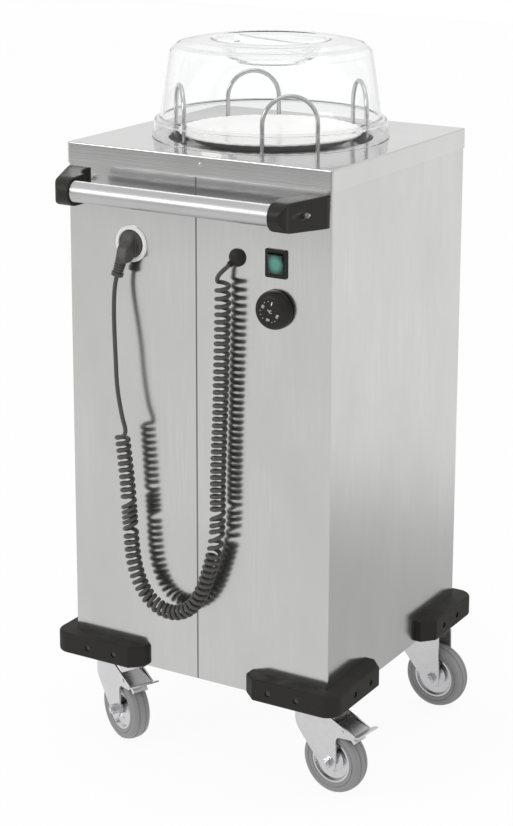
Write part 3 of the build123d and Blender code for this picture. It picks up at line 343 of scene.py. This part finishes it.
def mains_lead():
    """Curly lead: a short tail from the gland, the hanging coil and a straight lead to the plug."""
    points = off_panel(TAIL_ROUTE) + helix_points(off_panel(COIL_ROUTE)) + off_panel(LET_GO + LEAD_ROUTE)
    data = spline_curve("mains_lead", points)
    data.resolution_u = CORD_RESOLUTION
    data.bevel_depth = 1.0                      # times each point's radius
    data.splines[0].points.foreach_set("radius", [CORD_R] * len(points))
    data.bevel_resolution = 3
    data.use_fill_caps = True
    cord = link(data, "mains_lead")
    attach(cord, "cabinet")
    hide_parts("cord_tail", "cord_coil", "cord_lead")
    length = line_length(read_line(points, LENGTH_RESOLUTION))
    return cord


LEAD = mains_lead()


# --------------------------------------------------------------------------- lift springs
SPRING_AXIS_R, SPRING_R, SPRING_WIRE_R = 0.150, 0.006, 0.0009
SPRING_LOW, SPRING_HIGH, SPRING_HOOK = 0.690, 0.891, 0.012
SPRING_TURNS, TURN_STEPS = 46, 12
OPENING_STEPS = 6                               # over which the coil opens from its hook
HOOK_STEPS = (0.004, 0.002)                     # from the coil's end to points on its hook
QUARTERS = [radians(-3 + 90 * i) for i in range(4)]


def lift_springs():
    """Four coil springs with hooks, from the liner's tabs to the carriage's arms."""
    low, high = SPRING_LOW + SPRING_HOOK, SPRING_HIGH - SPRING_HOOK
    steps = SPRING_TURNS * TURN_STEPS
    path = [Vector((0, 0, SPRING_LOW))] + [Vector((0, 0, low - step)) for step in HOOK_STEPS]
    for i in range(steps + 1):
        angle = tau * i / TURN_STEPS
        radius = (SPRING_R - SPRING_WIRE_R) * min(1.0, i / OPENING_STEPS, (steps - i) / OPENING_STEPS)
        path.append(Vector((radius * cos(angle), radius * sin(angle), low + (high - low) * i / steps)))
    path += [Vector((0, 0, high + step)) for step in reversed(HOOK_STEPS)] + [Vector((0, 0, SPRING_HIGH))]
    coils = []
    for quarter in QUARTERS:
        middle = Vector((SPRING_AXIS_R * cos(quarter), SPRING_AXIS_R * sin(quarter), 0.0))
        coils.append(wire([middle + point for point in path], SPRING_WIRE_R))
    springs = new_mesh("lift_spring_coils", *merged(coils), sharp=60)
    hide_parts("lift_springs")
    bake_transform(springs)
    return springs


SPRINGS = lift_springs()


# --------------------------------------------------------------------------- thermostat dial
DIAL_X, DIAL_Z = 0.1307, 0.7183
DIAL_FACE = 0.0179                              # out from the panel
DIAL_PROFILE = [                                # (radius, out from the panel), in millimetres
    (3.1, 1.0), (27.2, 1.0), (27.9, 1.6), (28.0, 3.0), (27.9, 5.0), (27.5, 7.6), (26.8, 10.2),
    (25.7, 12.6), (24.2, 14.7), (22.4, 16.3), (20.4, 17.3), (18.2, 17.8), (16.0, 17.9), (8.0, 17.9)]
# (text, angle, radius, height) of the print; an angle runs from the right, counterclockwise, in degrees
DIAL_TEXTS = [("30", 150, 0.0122, 0.0040), ("60", 257, 0.0118, 0.0040), ("90", 338, 0.0128, 0.0040),
              ("°C", 90, 0.0, 0.0046)]
FONT_SIZE = 1.4                                 # for a figure one unit high
DOT_ANGLES = (98, 123, 178, 200, 222, 285, 306)
DOTS_R, DOT_R, DOT_CORNERS = 0.0148, 0.00058, 10
MARK_ANGLE, MARK_FROM, MARK_TO, MARK_HALF_W = 74, 0.0098, 0.0152, 0.00062
INK_T, MARK_T = 0.00006, 0.00008


def on_dial(radius, angle, out):
    """Point on the dial."""
    return Vector((DIAL_X + radius * cos(angle), PANEL_Y - out, DIAL_Z + radius * sin(angle)))


def dial():
    """Domed knob of the thermostat."""
    piece = lathe("thermostat_dial", DIAL_PROFILE, on_dial, segments=72, sharp=50)
    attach(piece, "knob")
    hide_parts("thermostat_knob")
    return piece


def printed(outline, thickness):
    """Patch of print on the dial's face."""
    return skinned([outline, [point - Vector((0, thickness, 0)) for point in outline]])


def printed_text(text, way, radius, height):
    """Text that stands along the dial's radius, or upright at the middle."""
    data = bpy.data.curves.new("print", "FONT")
    data.body, data.size = text, height * FONT_SIZE
    data.align_x, data.align_y = "CENTER", "CENTER"
    data.extrude = INK_T
    mesh = baked(link(data, "print"))
    angle = radians(way)
    turn = Matrix.Rotation(angle - pi / 2 if radius else 0.0, 4, "Z")
    stand = Matrix.Rotation(pi / 2, 4, "X")
    mesh.transform(Matrix.Translation(on_dial(radius, angle, DIAL_FACE)) @ stand @ turn)
    solid = [v.co.copy() for v in mesh.vertices], [tuple(p.vertices) for p in mesh.polygons]
    bpy.data.meshes.remove(mesh)
    return solid


def printed_dot(way):
    at = on_dial(DOTS_R, radians(way), DIAL_FACE)
    angles = [tau * k / DOT_CORNERS for k in range(DOT_CORNERS)]
    return printed([at + Vector((DOT_R * cos(angle), 0, DOT_R * sin(angle))) for angle in angles], INK_T)


def printed_mark():
    """Bar that points to the set temperature."""
    angle = radians(MARK_ANGLE)
    across = Vector((-sin(angle), 0, cos(angle))) * MARK_HALF_W
    near, far = on_dial(MARK_FROM, angle, DIAL_FACE), on_dial(MARK_TO, angle, DIAL_FACE)
    return printed([near - across, far - across, far + across, near + across], MARK_T)


def dial_print():
    """Numbers, dots and the pointer mark, printed on the dial's face."""
    parts = [printed_text(*row) for row in DIAL_TEXTS] + [printed_dot(way) for way in DOT_ANGLES]
    piece = new_mesh("dial_print", *merged(parts + [printed_mark()]))
    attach(piece, "knob")
    return piece


DIAL = dial()
DIAL_PRINT = dial_print()


# --------------------------------------------------------------------------- dome
DOME_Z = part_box("dome_cover")[0].z
DOME_T = 3.0                                    # millimetres, as in the outline
DOME_LINE = [                                   # (radius, height, rounding) of the outer face
    (175.0, 0.0, 0), (171.2, 24.8, 2.5), (163.0, 28.6, 3.5), (149.0, 124.0, 11.0), (139.0, 135.5, 14.0),
    (112.0, 141.0, 70), (83.0, 142.9, 9.0), (60.0, 114.7, 14.0), (20.0, 114.7, 0)]
MIDDLE_R = 0.6                                  # of the flat cap in the bowl's middle
GRIP_TURN = radians(-17)
GRIP_HALF_L, GRIP_HALF_W = 0.0745, 0.0072
GRIP_TOP, GRIP_FOOT = 0.1415, 0.1265            # above the dome's lower edge
GRIP_WAIST, GRIP_SAG = 0.12, 0.0012             # narrower by that share, and lower, at its middle
GRIP_END, GRIP_END_RISE = 0.9, 0.004            # the foot rises near the ends, where the wall comes in
GRIP_STATIONS = 24
GRIP_SECTION = [(-1, 0), (-1, 0.75), (-0.8, 0.95), (-0.45, 1), (0.45, 1), (0.8, 0.95), (1, 0.75), (1, 0)]


def on_dome(radius, angle, height):
    """Point on the dome."""
    return Vector((radius * cos(angle), radius * sin(angle), DOME_Z + height))


def dome_shell():
    """Clear dome of even wall with a bowl in its top."""
    outer = rounded(DOME_LINE, 0.0, steps=7)
    inner = [(radius, max(0.0, height)) for radius, height in rounded(DOME_LINE, DOME_T, steps=7)]
    profile = [(MIDDLE_R, outer[-1][1])] + outer[::-1] + inner + [(MIDDLE_R, inner[-1][1])]
    piece = lathe("dome_shell", profile, on_dome, segments=160, sharp=40)
    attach(piece, "dome")
    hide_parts("dome_cover")
    return piece


def dome_grip():
    """Bar across the bowl, rounded on top, its ends let into the bowl's wall."""
    turn = Matrix.Rotation(GRIP_TURN, 4, "Z")
    rings = []
    for k in range(GRIP_STATIONS + 1):
        share = -1 + 2 * k / GRIP_STATIONS
        inward = 1 - share * share
        half = GRIP_HALF_W * (1.0 - GRIP_WAIST * inward)
        top = GRIP_TOP - GRIP_SAG * inward
        foot = GRIP_FOOT + (GRIP_END_RISE if abs(share) > GRIP_END else 0.0)
        rings.append([turn @ Vector((share * GRIP_HALF_L, across * half, DOME_Z + foot + (top - foot) * up))
                      for across, up in GRIP_SECTION])
    piece = new_mesh("dome_grip_bar", *skinned(rings), sharp=40)
    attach(piece, "dome")
    return piece


DOME = dome_shell()
GRIP = dome_grip()


# --------------------------------------------------------------------------- plate
PLATE_LOW, PLATE_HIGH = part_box("dinner_plate")
PLATE_R = (PLATE_HIGH.x - PLATE_LOW.x) * 500    # half its width, in millimetres
FOOT_R = PLATE_R * 0.54
PLATE_LINE = [                                  # (radius, height, rounding)
    (0.5, 2.0, 0), (FOOT_R - 4, 2.0, 0.8), (FOOT_R - 2, 0.0, 0.8), (FOOT_R + 3, 0.0, 0.8),
    (FOOT_R + 8, 4.0, 6.0), (PLATE_R * 0.86, 11.0, 20.0), (PLATE_R, 21.6, 1.6), (PLATE_R - 0.7, 25.0, 1.4),
    (PLATE_R * 0.85, 15.5, 20.0), (FOOT_R + 6, 8.5, 12.0), (0.5, 6.5, 0)]
RIM_FROM = PLATE_R * 0.91                       # the scallops fade out inside this radius
SCALLOPS, SCALLOP_IN, SCALLOP_DOWN = 44, 0.0011, 0.0006


def on_plate(radius, angle, height):
    """Point on the plate, with the rim's shallow scallops."""
    rim = min(1.0, max(0.0, (1000 * radius - RIM_FROM) / (PLATE_R - RIM_FROM))) ** 2
    dent = rim * (0.5 - 0.5 * cos(SCALLOPS * angle)) ** 1.5
    radius -= SCALLOP_IN * dent
    return Vector((radius * cos(angle), radius * sin(angle), PLATE_LOW.z + height - SCALLOP_DOWN * dent))


def plate():
    """The one plate on the platform."""
    profile = rounded(PLATE_LINE, 0.0, steps=5)
    piece = lathe("scalloped_plate", profile, on_plate, segments=8 * SCALLOPS, sharp=60)
    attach(piece, "platform")
    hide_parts("dinner_plate")
    return piece


PLATE = plate()


# --------------------------------------------------------------------------- seams
SEAM_SECTION = [(-0.0012, 0.00001), (-0.0009, 0.00016), (0.0009, 0.00016), (0.0012, 0.00001)]
SEAM_RISE = 0.0005                              # from the housing's lower edge


def seam(name, end):
    """Rolled edges of the two housing shells where they meet, at the front (-1) or the back (1)."""
    face_y = end * abs(PANEL_Y)
    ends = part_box("housing_left")[0].z + SEAM_RISE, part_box("worktop")[0].z
    rings = [[Vector((across, face_y + end * out, z)) for across, out in SEAM_SECTION] for z in ends]
    piece = new_mesh(name, *skinned(rings))
    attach(piece, "cabinet")
    return piece


# dark strips that carry painted shade of the groove between the shells
SEAMS = [seam("front_seam_edges", -1), seam("back_seam_edges", 1)]


# --------------------------------------------------------------------------- caster bolts
BOLT_PITCH = 0.058
BOLT_FLATS, BOLT_HEAD_H, BOLT_BEVEL, BOLT_END = 0.013, 0.0053, 0.0012, 0.94
WASHER_R, WASHER_T = 0.0085, 0.0014
CASTER_PLATE_T = 0.003
BOLT_CORNERS = 24


def bolt_ring(at, radius, z, hexagonal=False):
    """Ring of points: a circle, or a hexagon with its corners at the radius."""
    points = []
    for k in range(BOLT_CORNERS):
        angle = tau * k / BOLT_CORNERS
        reach = radius * cos(pi / 6) / cos(angle % (pi / 3) - pi / 6) if hexagonal else radius
        points.append(Vector((at[0] + reach * cos(angle), at[1] + reach * sin(angle), z)))
    return points


def caster_bolts():
    """Hexagon heads on washers under the four caster plates."""
    corner_r = BOLT_FLATS / 2 / cos(pi / 6)
    bolts = []
    for corner in ("front_left", "front_right", "rear_right", "rear_left"):
        low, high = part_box("caster_plate_" + corner)
        seat = high.z - CASTER_PLATE_T
        under = seat - WASHER_T
        for sx, sy in ((-1, -1), (-1, 1), (1, -1), (1, 1)):
            at = (low.x + high.x + sx * BOLT_PITCH) / 2, (low.y + high.y + sy * BOLT_PITCH) / 2
            bolts.append(skinned([
                bolt_ring(at, WASHER_R, seat), bolt_ring(at, WASHER_R, under),
                bolt_ring(at, corner_r, under, hexagonal=True),
                bolt_ring(at, corner_r, under - BOLT_HEAD_H + BOLT_BEVEL, hexagonal=True),
                bolt_ring(at, BOLT_FLATS / 2 * BOLT_END, under - BOLT_HEAD_H)]))
    piece = new_mesh("caster_bolts", *merged(bolts), sharp=30)
    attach(piece, "cabinet")
    return piece


BOLTS = caster_bolts()


# --------------------------------------------------------------------------- materials
NOISE_LOW, NOISE_HIGH = 0.3, 0.7                # most of a noise lies between these


class Graph:
    """A shader's node tree, built up node by node."""

    def __init__(self, tree):
        self.tree = tree

    def node(self, kind, settings=None, **inputs):
        """New node; an input takes a value or another node's output."""
        made = self.tree.nodes.new(kind)
        for key, value in (settings or {}).items():
            setattr(made, key, value)
        for key, value in inputs.items():
            self.feed(made.inputs[key.replace("_", " ")], value)
        return made

    def feed(self, socket, value):
        """Links the socket to an output, or sets its value."""
        if hasattr(value, "is_linked"):
            self.tree.links.new(value, socket)
        else:
            socket.default_value = value

    def coordinate(self, output):
        return self.node("ShaderNodeTexCoord").outputs[output]

    def parts(self, vector):
        """The parts of a vector, by the name of the axis."""
        return self.node("ShaderNodeSeparateXYZ", Vector=vector).outputs

    def scaled(self, vector, scale):
        """The vector with one factor for each axis."""
        return self.node("ShaderNodeMapping", Vector=vector, Scale=scale).outputs["Vector"]

    def distance(self, vector, point):
        away = self.node("ShaderNodeVectorMath", {"operation": "DISTANCE"})
        self.feed(away.inputs[0], vector)
        self.feed(away.inputs[1], point)
        return away.outputs["Value"]

    def ramp(self, value, start, end, low, high, interpolation="LINEAR"):
        """Runs from low to high while the value runs from start to end."""
        return self.node("ShaderNodeMapRange", {"interpolation_type": interpolation}, Value=value,
                         From_Min=start, From_Max=end, To_Min=low, To_Max=high).outputs["Result"]


class Finish(Graph):
    """A node material built up step by step from the Principled shader."""

    def __init__(self, name, color, roughness, **values):
        self.material = bpy.data.materials.new(name)
        self.material.use_nodes = True
        super().__init__(self.material.node_tree)
        self.sockets = self.tree.nodes["Principled BSDF"].inputs
        self.sockets["Base Color"].default_value = (*color, 1.0)
        self.sockets["Roughness"].default_value = roughness
        for key, value in values.items():
            self.sockets[key.replace("_", " ")].default_value = value
        self.roughness = roughness
        self.place = self.coordinate("Object")

    def noise(self, scale, detail=2.0, rough=0.5):
        """Noise in the object's frame; the scale has one number for each axis, in cells a metre."""
        return self.node("ShaderNodeTexNoise", Vector=self.scaled(self.place, scale), Scale=1.0,
                         Detail=detail, Roughness=rough).outputs["Fac"]

    def vary_rough(self, value, share):
        """Spreads the roughness by that share to both sides."""
        low, high = self.roughness * (1 - share), self.roughness * (1 + share)
        self.feed(self.sockets["Roughness"], self.ramp(value, NOISE_LOW, NOISE_HIGH, low, high))

    def vary_color(self, value, other, start=NOISE_LOW, end=NOISE_HIGH):
        """Fades from the colour so far to the other one while the value runs from start to end."""
        base = self.sockets["Base Color"]
        so_far = base.links[0].from_socket if base.is_linked else base.default_value
        mix = self.node("ShaderNodeMix", {"data_type": "RGBA"}, A=so_far, B=(*other, 1.0),
                        Factor=self.ramp(value, start, end, 0.0, 1.0))
        self.feed(base, mix.outputs["Result"])

    def bump(self, value, depth):
        """Relief of that depth in metres."""
        relief = self.node("ShaderNodeBump", Distance=depth, Strength=1.0, Height=value)
        self.feed(self.sockets["Normal"], relief.outputs["Normal"])


def cubed(cells):
    """Noise scale that is the same along the three axes."""
    return (cells, cells, cells)


def toned(color, tone):
    return tuple(part * tone for part in color)


BANDS, SMUDGES = (5.0, 5.0, 3.0), (9.0, 9.0, 5.0)       # noise scales
BAND_SHARE, SMUDGE_TONE, GRAIN_TONE = 0.12, 0.89, 0.96
GRAIN_LOW, GRAIN_HIGH, GRAIN_DEPTH = 0.35, 0.8, 0.00002


def brushed(name, color, roughness, grain, worn=0.9, anisotropy=0.0):
    """Rolled steel: fine grain along one axis, and broad faint bands and smudges."""
    steel = Finish(name, color, roughness, Metallic=1.0, Anisotropic=anisotropy)
    fine = steel.noise(grain)
    steel.vary_rough(steel.noise(BANDS, detail=3.0), BAND_SHARE)
    steel.vary_color(steel.noise(SMUDGES, detail=4.0, rough=0.6), toned(color, SMUDGE_TONE))
    steel.vary_color(fine, toned(color, worn * GRAIN_TONE), GRAIN_LOW, GRAIN_HIGH)
    steel.bump(fine, GRAIN_DEPTH)
    if anisotropy:
        tangent = steel.node("ShaderNodeTangent", {"direction_type": "RADIAL", "axis": "Z"})
        steel.feed(steel.sockets["Tangent"], tangent.outputs["Tangent"])
    return steel.material


def moulded(name, color, roughness, depth=0.00006, **sockets):
    """Moulded plastic or rubber with a fine eroded grain."""
    plastic = Finish(name, color, roughness, **sockets)
    broad = plastic.noise(cubed(25.0))
    plastic.vary_rough(broad, 0.10)
    plastic.vary_color(broad, toned(color, 1.12))
    plastic.bump(plastic.noise(cubed(900.0)), depth)
    return plastic.material


def porcelain(name):
    """White glaze, with painted shade where it faces down."""
    china = Finish(name, (0.95, 0.95, 0.94), 0.10)
    china.vary_rough(china.noise(cubed(25.0)), 0.10)
    normal = china.node("ShaderNodeNewGeometry").outputs["Normal"]
    # painted shade: the glaze turns grey where its surface faces down, as under the rim
    china.vary_color(china.parts(normal)["Z"], (0.36, 0.36, 0.35), start=-0.1, end=-0.6)
    china.bump(china.noise(cubed(60.0)), 0.00001)
    return china.material


SKIRT_CLEAR, SKIRT_GREY = 0.031, 0.025          # heights above the dome's lower edge


def clear(name, ior):
    """Clear moulded acrylic, a little grey in the skirt, with painted shade where it is seen edge on."""
    acrylic = Finish(name, (0.985, 0.99, 0.99), 0.02, IOR=ior, Transmission_Weight=1.0)
    height = acrylic.parts(acrylic.place)["Z"]
    acrylic.vary_color(height, (0.90, 0.90, 0.90), start=DOME_Z + SKIRT_CLEAR, end=DOME_Z + SKIRT_GREY)
    # painted shade: greyer where the surface is seen edge on
    edge = acrylic.node("ShaderNodeLayerWeight", Blend=0.5)
    acrylic.vary_color(edge.outputs["Facing"], (0.84, 0.84, 0.84), start=0.55, end=1.0)
    return acrylic.material


def lens(name):
    """Green lens of the switch, lit from its middle."""
    green = Finish(name, (0.095, 0.33, 0.255), 0.22)
    low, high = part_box("switch_rocker")
    wide, tall = high.x - low.x, high.z - low.z
    middle = (low.x + high.x) / 2 / wide, 0.0, (low.z + high.z) / 2 / tall
    away = green.distance(green.scaled(green.place, (1 / wide, 0.0, 1 / tall)), middle)
    green.vary_color(away, (0.008, 0.034, 0.027), start=0.22, end=0.54)
    green.vary_rough(green.noise(cubed(300.0), detail=3.0), 0.2)
    return green.material


ALONG_Z, ACROSS_Z = (700.0, 700.0, 9.0), (9.0, 700.0, 700.0)    # grain up the panels, and across the cart
SLOT_MATERIAL = {
    "satin_steel": brushed("satin_steel", (0.60, 0.60, 0.595), 0.165, ALONG_Z, 0.955, anisotropy=0.3),
    "polished_steel": brushed("polished_steel", (0.62, 0.62, 0.615), 0.12, ACROSS_Z, 0.96),
    "inner_steel": brushed("inner_steel", (0.60, 0.60, 0.59), 0.26, (300.0, 300.0, 12.0), 0.95),
    "bright_rod": brushed("bright_rod", (0.56, 0.56, 0.56), 0.22, (500.0, 500.0, 20.0), 0.94),
    "spring_steel": brushed("spring_steel", (0.45, 0.45, 0.45), 0.30, cubed(400.0)),
    "heater_metal": brushed("heater_metal", (0.25, 0.23, 0.21), 0.45, cubed(80.0)),
    "fastener": brushed("fastener", (0.66, 0.66, 0.66), 0.22, cubed(300.0)),
    "dark_screw": brushed("dark_screw", (0.085, 0.085, 0.085), 0.35, cubed(400.0)),
    "satin_aluminium": brushed("satin_aluminium", (0.56, 0.56, 0.565), 0.42, (9.0, 900.0, 900.0), 0.95),
    "zinc": brushed("zinc", (0.70, 0.70, 0.71), 0.24, cubed(120.0), 0.92),
    "black_plastic": moulded("black_plastic", (0.0145, 0.0135, 0.0112), 0.45, Specular_IOR_Level=0.28),
    "bumper_rubber": moulded("bumper_rubber", (0.0175, 0.0165, 0.014), 0.62, Specular_IOR_Level=0.25),
    "white_plastic": moulded("white_plastic", (0.86, 0.86, 0.85), 0.28, depth=0.00002),
    "glide_plastic": moulded("glide_plastic", (0.75, 0.75, 0.72), 0.35),
    "plug_plastic": moulded("plug_plastic", (0.060, 0.058, 0.052), 0.45),
    "cable": moulded("cable", (0.062, 0.060, 0.057), 0.40),
    "grey_tyre": moulded("grey_tyre", (0.265, 0.265, 0.265), 0.62, depth=0.0001),
    "green_lens": lens("green_lens"),
    "clear_plastic": clear("clear_plastic", 1.40),
    "porcelain": porcelain("porcelain")}
# painted shade: dark steel for the seam strips, in place of the groove's shade
SEAM_PAINTED_SHADE = brushed("seam_painted_shade", (0.20, 0.20, 0.20), 0.40, (400.0, 400.0, 9.0))
CLEAR_BAR = clear("clear_plastic_bar", 1.18)


def paint(piece, material):
    piece.data.materials.clear()
    piece.data.materials.append(material)


for node, slot in SLOT_OF.items():
    paint(NODES[node], SLOT_MATERIAL[slot])
for piece, slot in ((LEAD, "cable"), (SPRINGS, "spring_steel"), (DIAL, "black_plastic"),
                    (DIAL_PRINT, "white_plastic"), (BOLTS, "fastener"), (PLATE, "porcelain"),
                    (PLUG_BODY, "plug_plastic"), (DOME, "clear_plastic")):
    paint(piece, SLOT_MATERIAL[slot])
# the seam strips carry the painted shade of the groove
for piece in SEAMS:
    paint(piece, SEAM_PAINTED_SHADE)
for piece in BRACKETS:
    paint(piece, SLOT_MATERIAL["black_plastic"])
    piece.visible_glossy = False                # the panel hardly mirrors them
paint(GRIP, CLEAR_BAR)
for piece in (DOME, GRIP):                      # clear plastic hardly shades what it covers
    piece.visible_shadow = piece.visible_diffuse = False


# --------------------------------------------------------------------------- stage
FLOOR_HALF = 9.0
FAR_FRONT, NEAR_FRONT = -5.0, -3.4              # the floor grows brighter between these
FAR_TONE, NEAR_TONE = 0.36, 0.95
BEHIND_FROM, BEHIND_TO, BEHIND_GAIN = 0.2, 2.0, 1.11
SHADE_AT = (0.52, 0.42, 0.0)                    # soft shade on the floor, right of the cart
SHADE_FROM, SHADE_TO, SHADE_TONE = 0.10, 1.05, 0.67
FLOOR_SEEN_WHITE = 0.93                         # how much of the floor shows as plain white
ROOM_FRONT, ROOM_BACK = -0.9, 0.3               # directions between which the room grows brighter
ROOM_FRONT_TONE, ROOM_BACK_TONE, CEILING_TONE = 0.50, 0.94, 0.95
CEILING_FROM, CEILING_TO = 0.30, 0.85


class StageGraph(Graph):
    """Node tree of the floor or of the room."""

    def __init__(self, tree):
        super().__init__(tree)
        tree.nodes.clear()

    def step(self, value, start, end, low, high):
        """Smooth step from low at start to high at end."""
        return self.ramp(value, start, end, low, high, interpolation="SMOOTHSTEP")

    def times(self, a, b):
        product = self.node("ShaderNodeMath", {"operation": "MULTIPLY"})
        self.feed(product.inputs[0], a)
        self.feed(product.inputs[1], b)
        return product.outputs["Value"]

    def mixed(self, share, first, second):
        """The first shader, with that share of the second."""
        mix = self.node("ShaderNodeMixShader", Fac=share)
        self.feed(mix.inputs[1], first)
        self.feed(mix.inputs[2], second)
        return mix.outputs["Shader"]

    def glow(self, kind, strength):
        """White light of that strength."""
        return self.node(kind, Strength=strength, Color=(1.0, 1.0, 1.0, 1.0)).outputs[0]

    def show(self, output_kind, seen, other):
        """Gives the first shader to the camera, and the second to light and reflections."""
        camera = self.node("ShaderNodeLightPath").outputs["Is Camera Ray"]
        self.node(output_kind, Surface=self.mixed(camera, other, seen))


def make_floor():
    """Pale floor: bright close by, darker far in front, with a soft shade right of the cart."""
    half = FLOOR_HALF
    mesh = bpy.data.meshes.new("floor")
    mesh.from_pydata([(-half, -half, 0), (half, -half, 0), (half, half, 0), (-half, half, 0)], [],
                     [(0, 1, 2, 3)])
    floor = link(mesh, "floor")
    material = bpy.data.materials.new("floor")
    material.use_nodes = True
    graph = StageGraph(material.node_tree)
    place = graph.coordinate("Object")
    y = graph.parts(place)["Y"]
    tone = graph.step(y, FAR_FRONT, NEAR_FRONT, FAR_TONE, NEAR_TONE)
    tone = graph.times(tone, graph.step(y, BEHIND_FROM, BEHIND_TO, 1.0, BEHIND_GAIN))
    away = graph.distance(place, SHADE_AT)
    tone = graph.times(tone, graph.step(away, SHADE_FROM, SHADE_TO, SHADE_TONE, 1.0))
    matte = graph.node("ShaderNodeBsdfDiffuse", Color=(0.9, 0.9, 0.9, 1.0)).outputs["BSDF"]
    seen = graph.mixed(FLOOR_SEEN_WHITE, matte, graph.glow("ShaderNodeEmission", 1.0))
    graph.show("ShaderNodeOutputMaterial", seen, graph.glow("ShaderNodeEmission", tone))
    mesh.materials.append(material)


def make_world():
    """White room that is dimmer in front of the cart."""
    world = bpy.data.worlds.new("studio")
    world.use_nodes = True
    graph = StageGraph(world.node_tree)
    ways = graph.parts(graph.coordinate("Generated"))
    level = graph.step(ways["Y"], ROOM_FRONT, ROOM_BACK, ROOM_FRONT_TONE, ROOM_BACK_TONE)
    above = graph.step(ways["Z"], CEILING_FROM, CEILING_TO, 0.0, 1.0)
    tone = graph.node("ShaderNodeMix", Factor=above, A=level, B=CEILING_TONE).outputs["Result"]
    graph.show("ShaderNodeOutputWorld", graph.glow("ShaderNodeBackground", 1.0),
               graph.glow("ShaderNodeBackground", tone))
    bpy.context.scene.world = world


def area_light(name, at, aim, size, power, mirrored=True):
    """Rectangular soft light of that power in watts."""
    data = bpy.data.lights.new(name, "AREA")
    data.shape = "RECTANGLE"
    data.size, data.size_y = size
    data.energy = power
    light = link(data, name)
    light.location = at
    light.rotation_mode = "QUATERNION"
    light.rotation_quaternion = (Vector(aim) - Vector(at)).to_track_quat("-Z", "Y")
    light.visible_glossy = mirrored


make_floor()
make_world()
area_light("key", at=(-1.5, -2.6, 2.0), aim=(0.0, 0.0, 0.6), size=(1.1, 0.9), power=22.0)
area_light("top", at=(0.0, -0.3, 3.2), aim=(0.0, 0.0, 0.9), size=(1.8, 1.8), power=10.0, mirrored=False)
bpy.context.scene.view_settings.view_transform = "Standard"
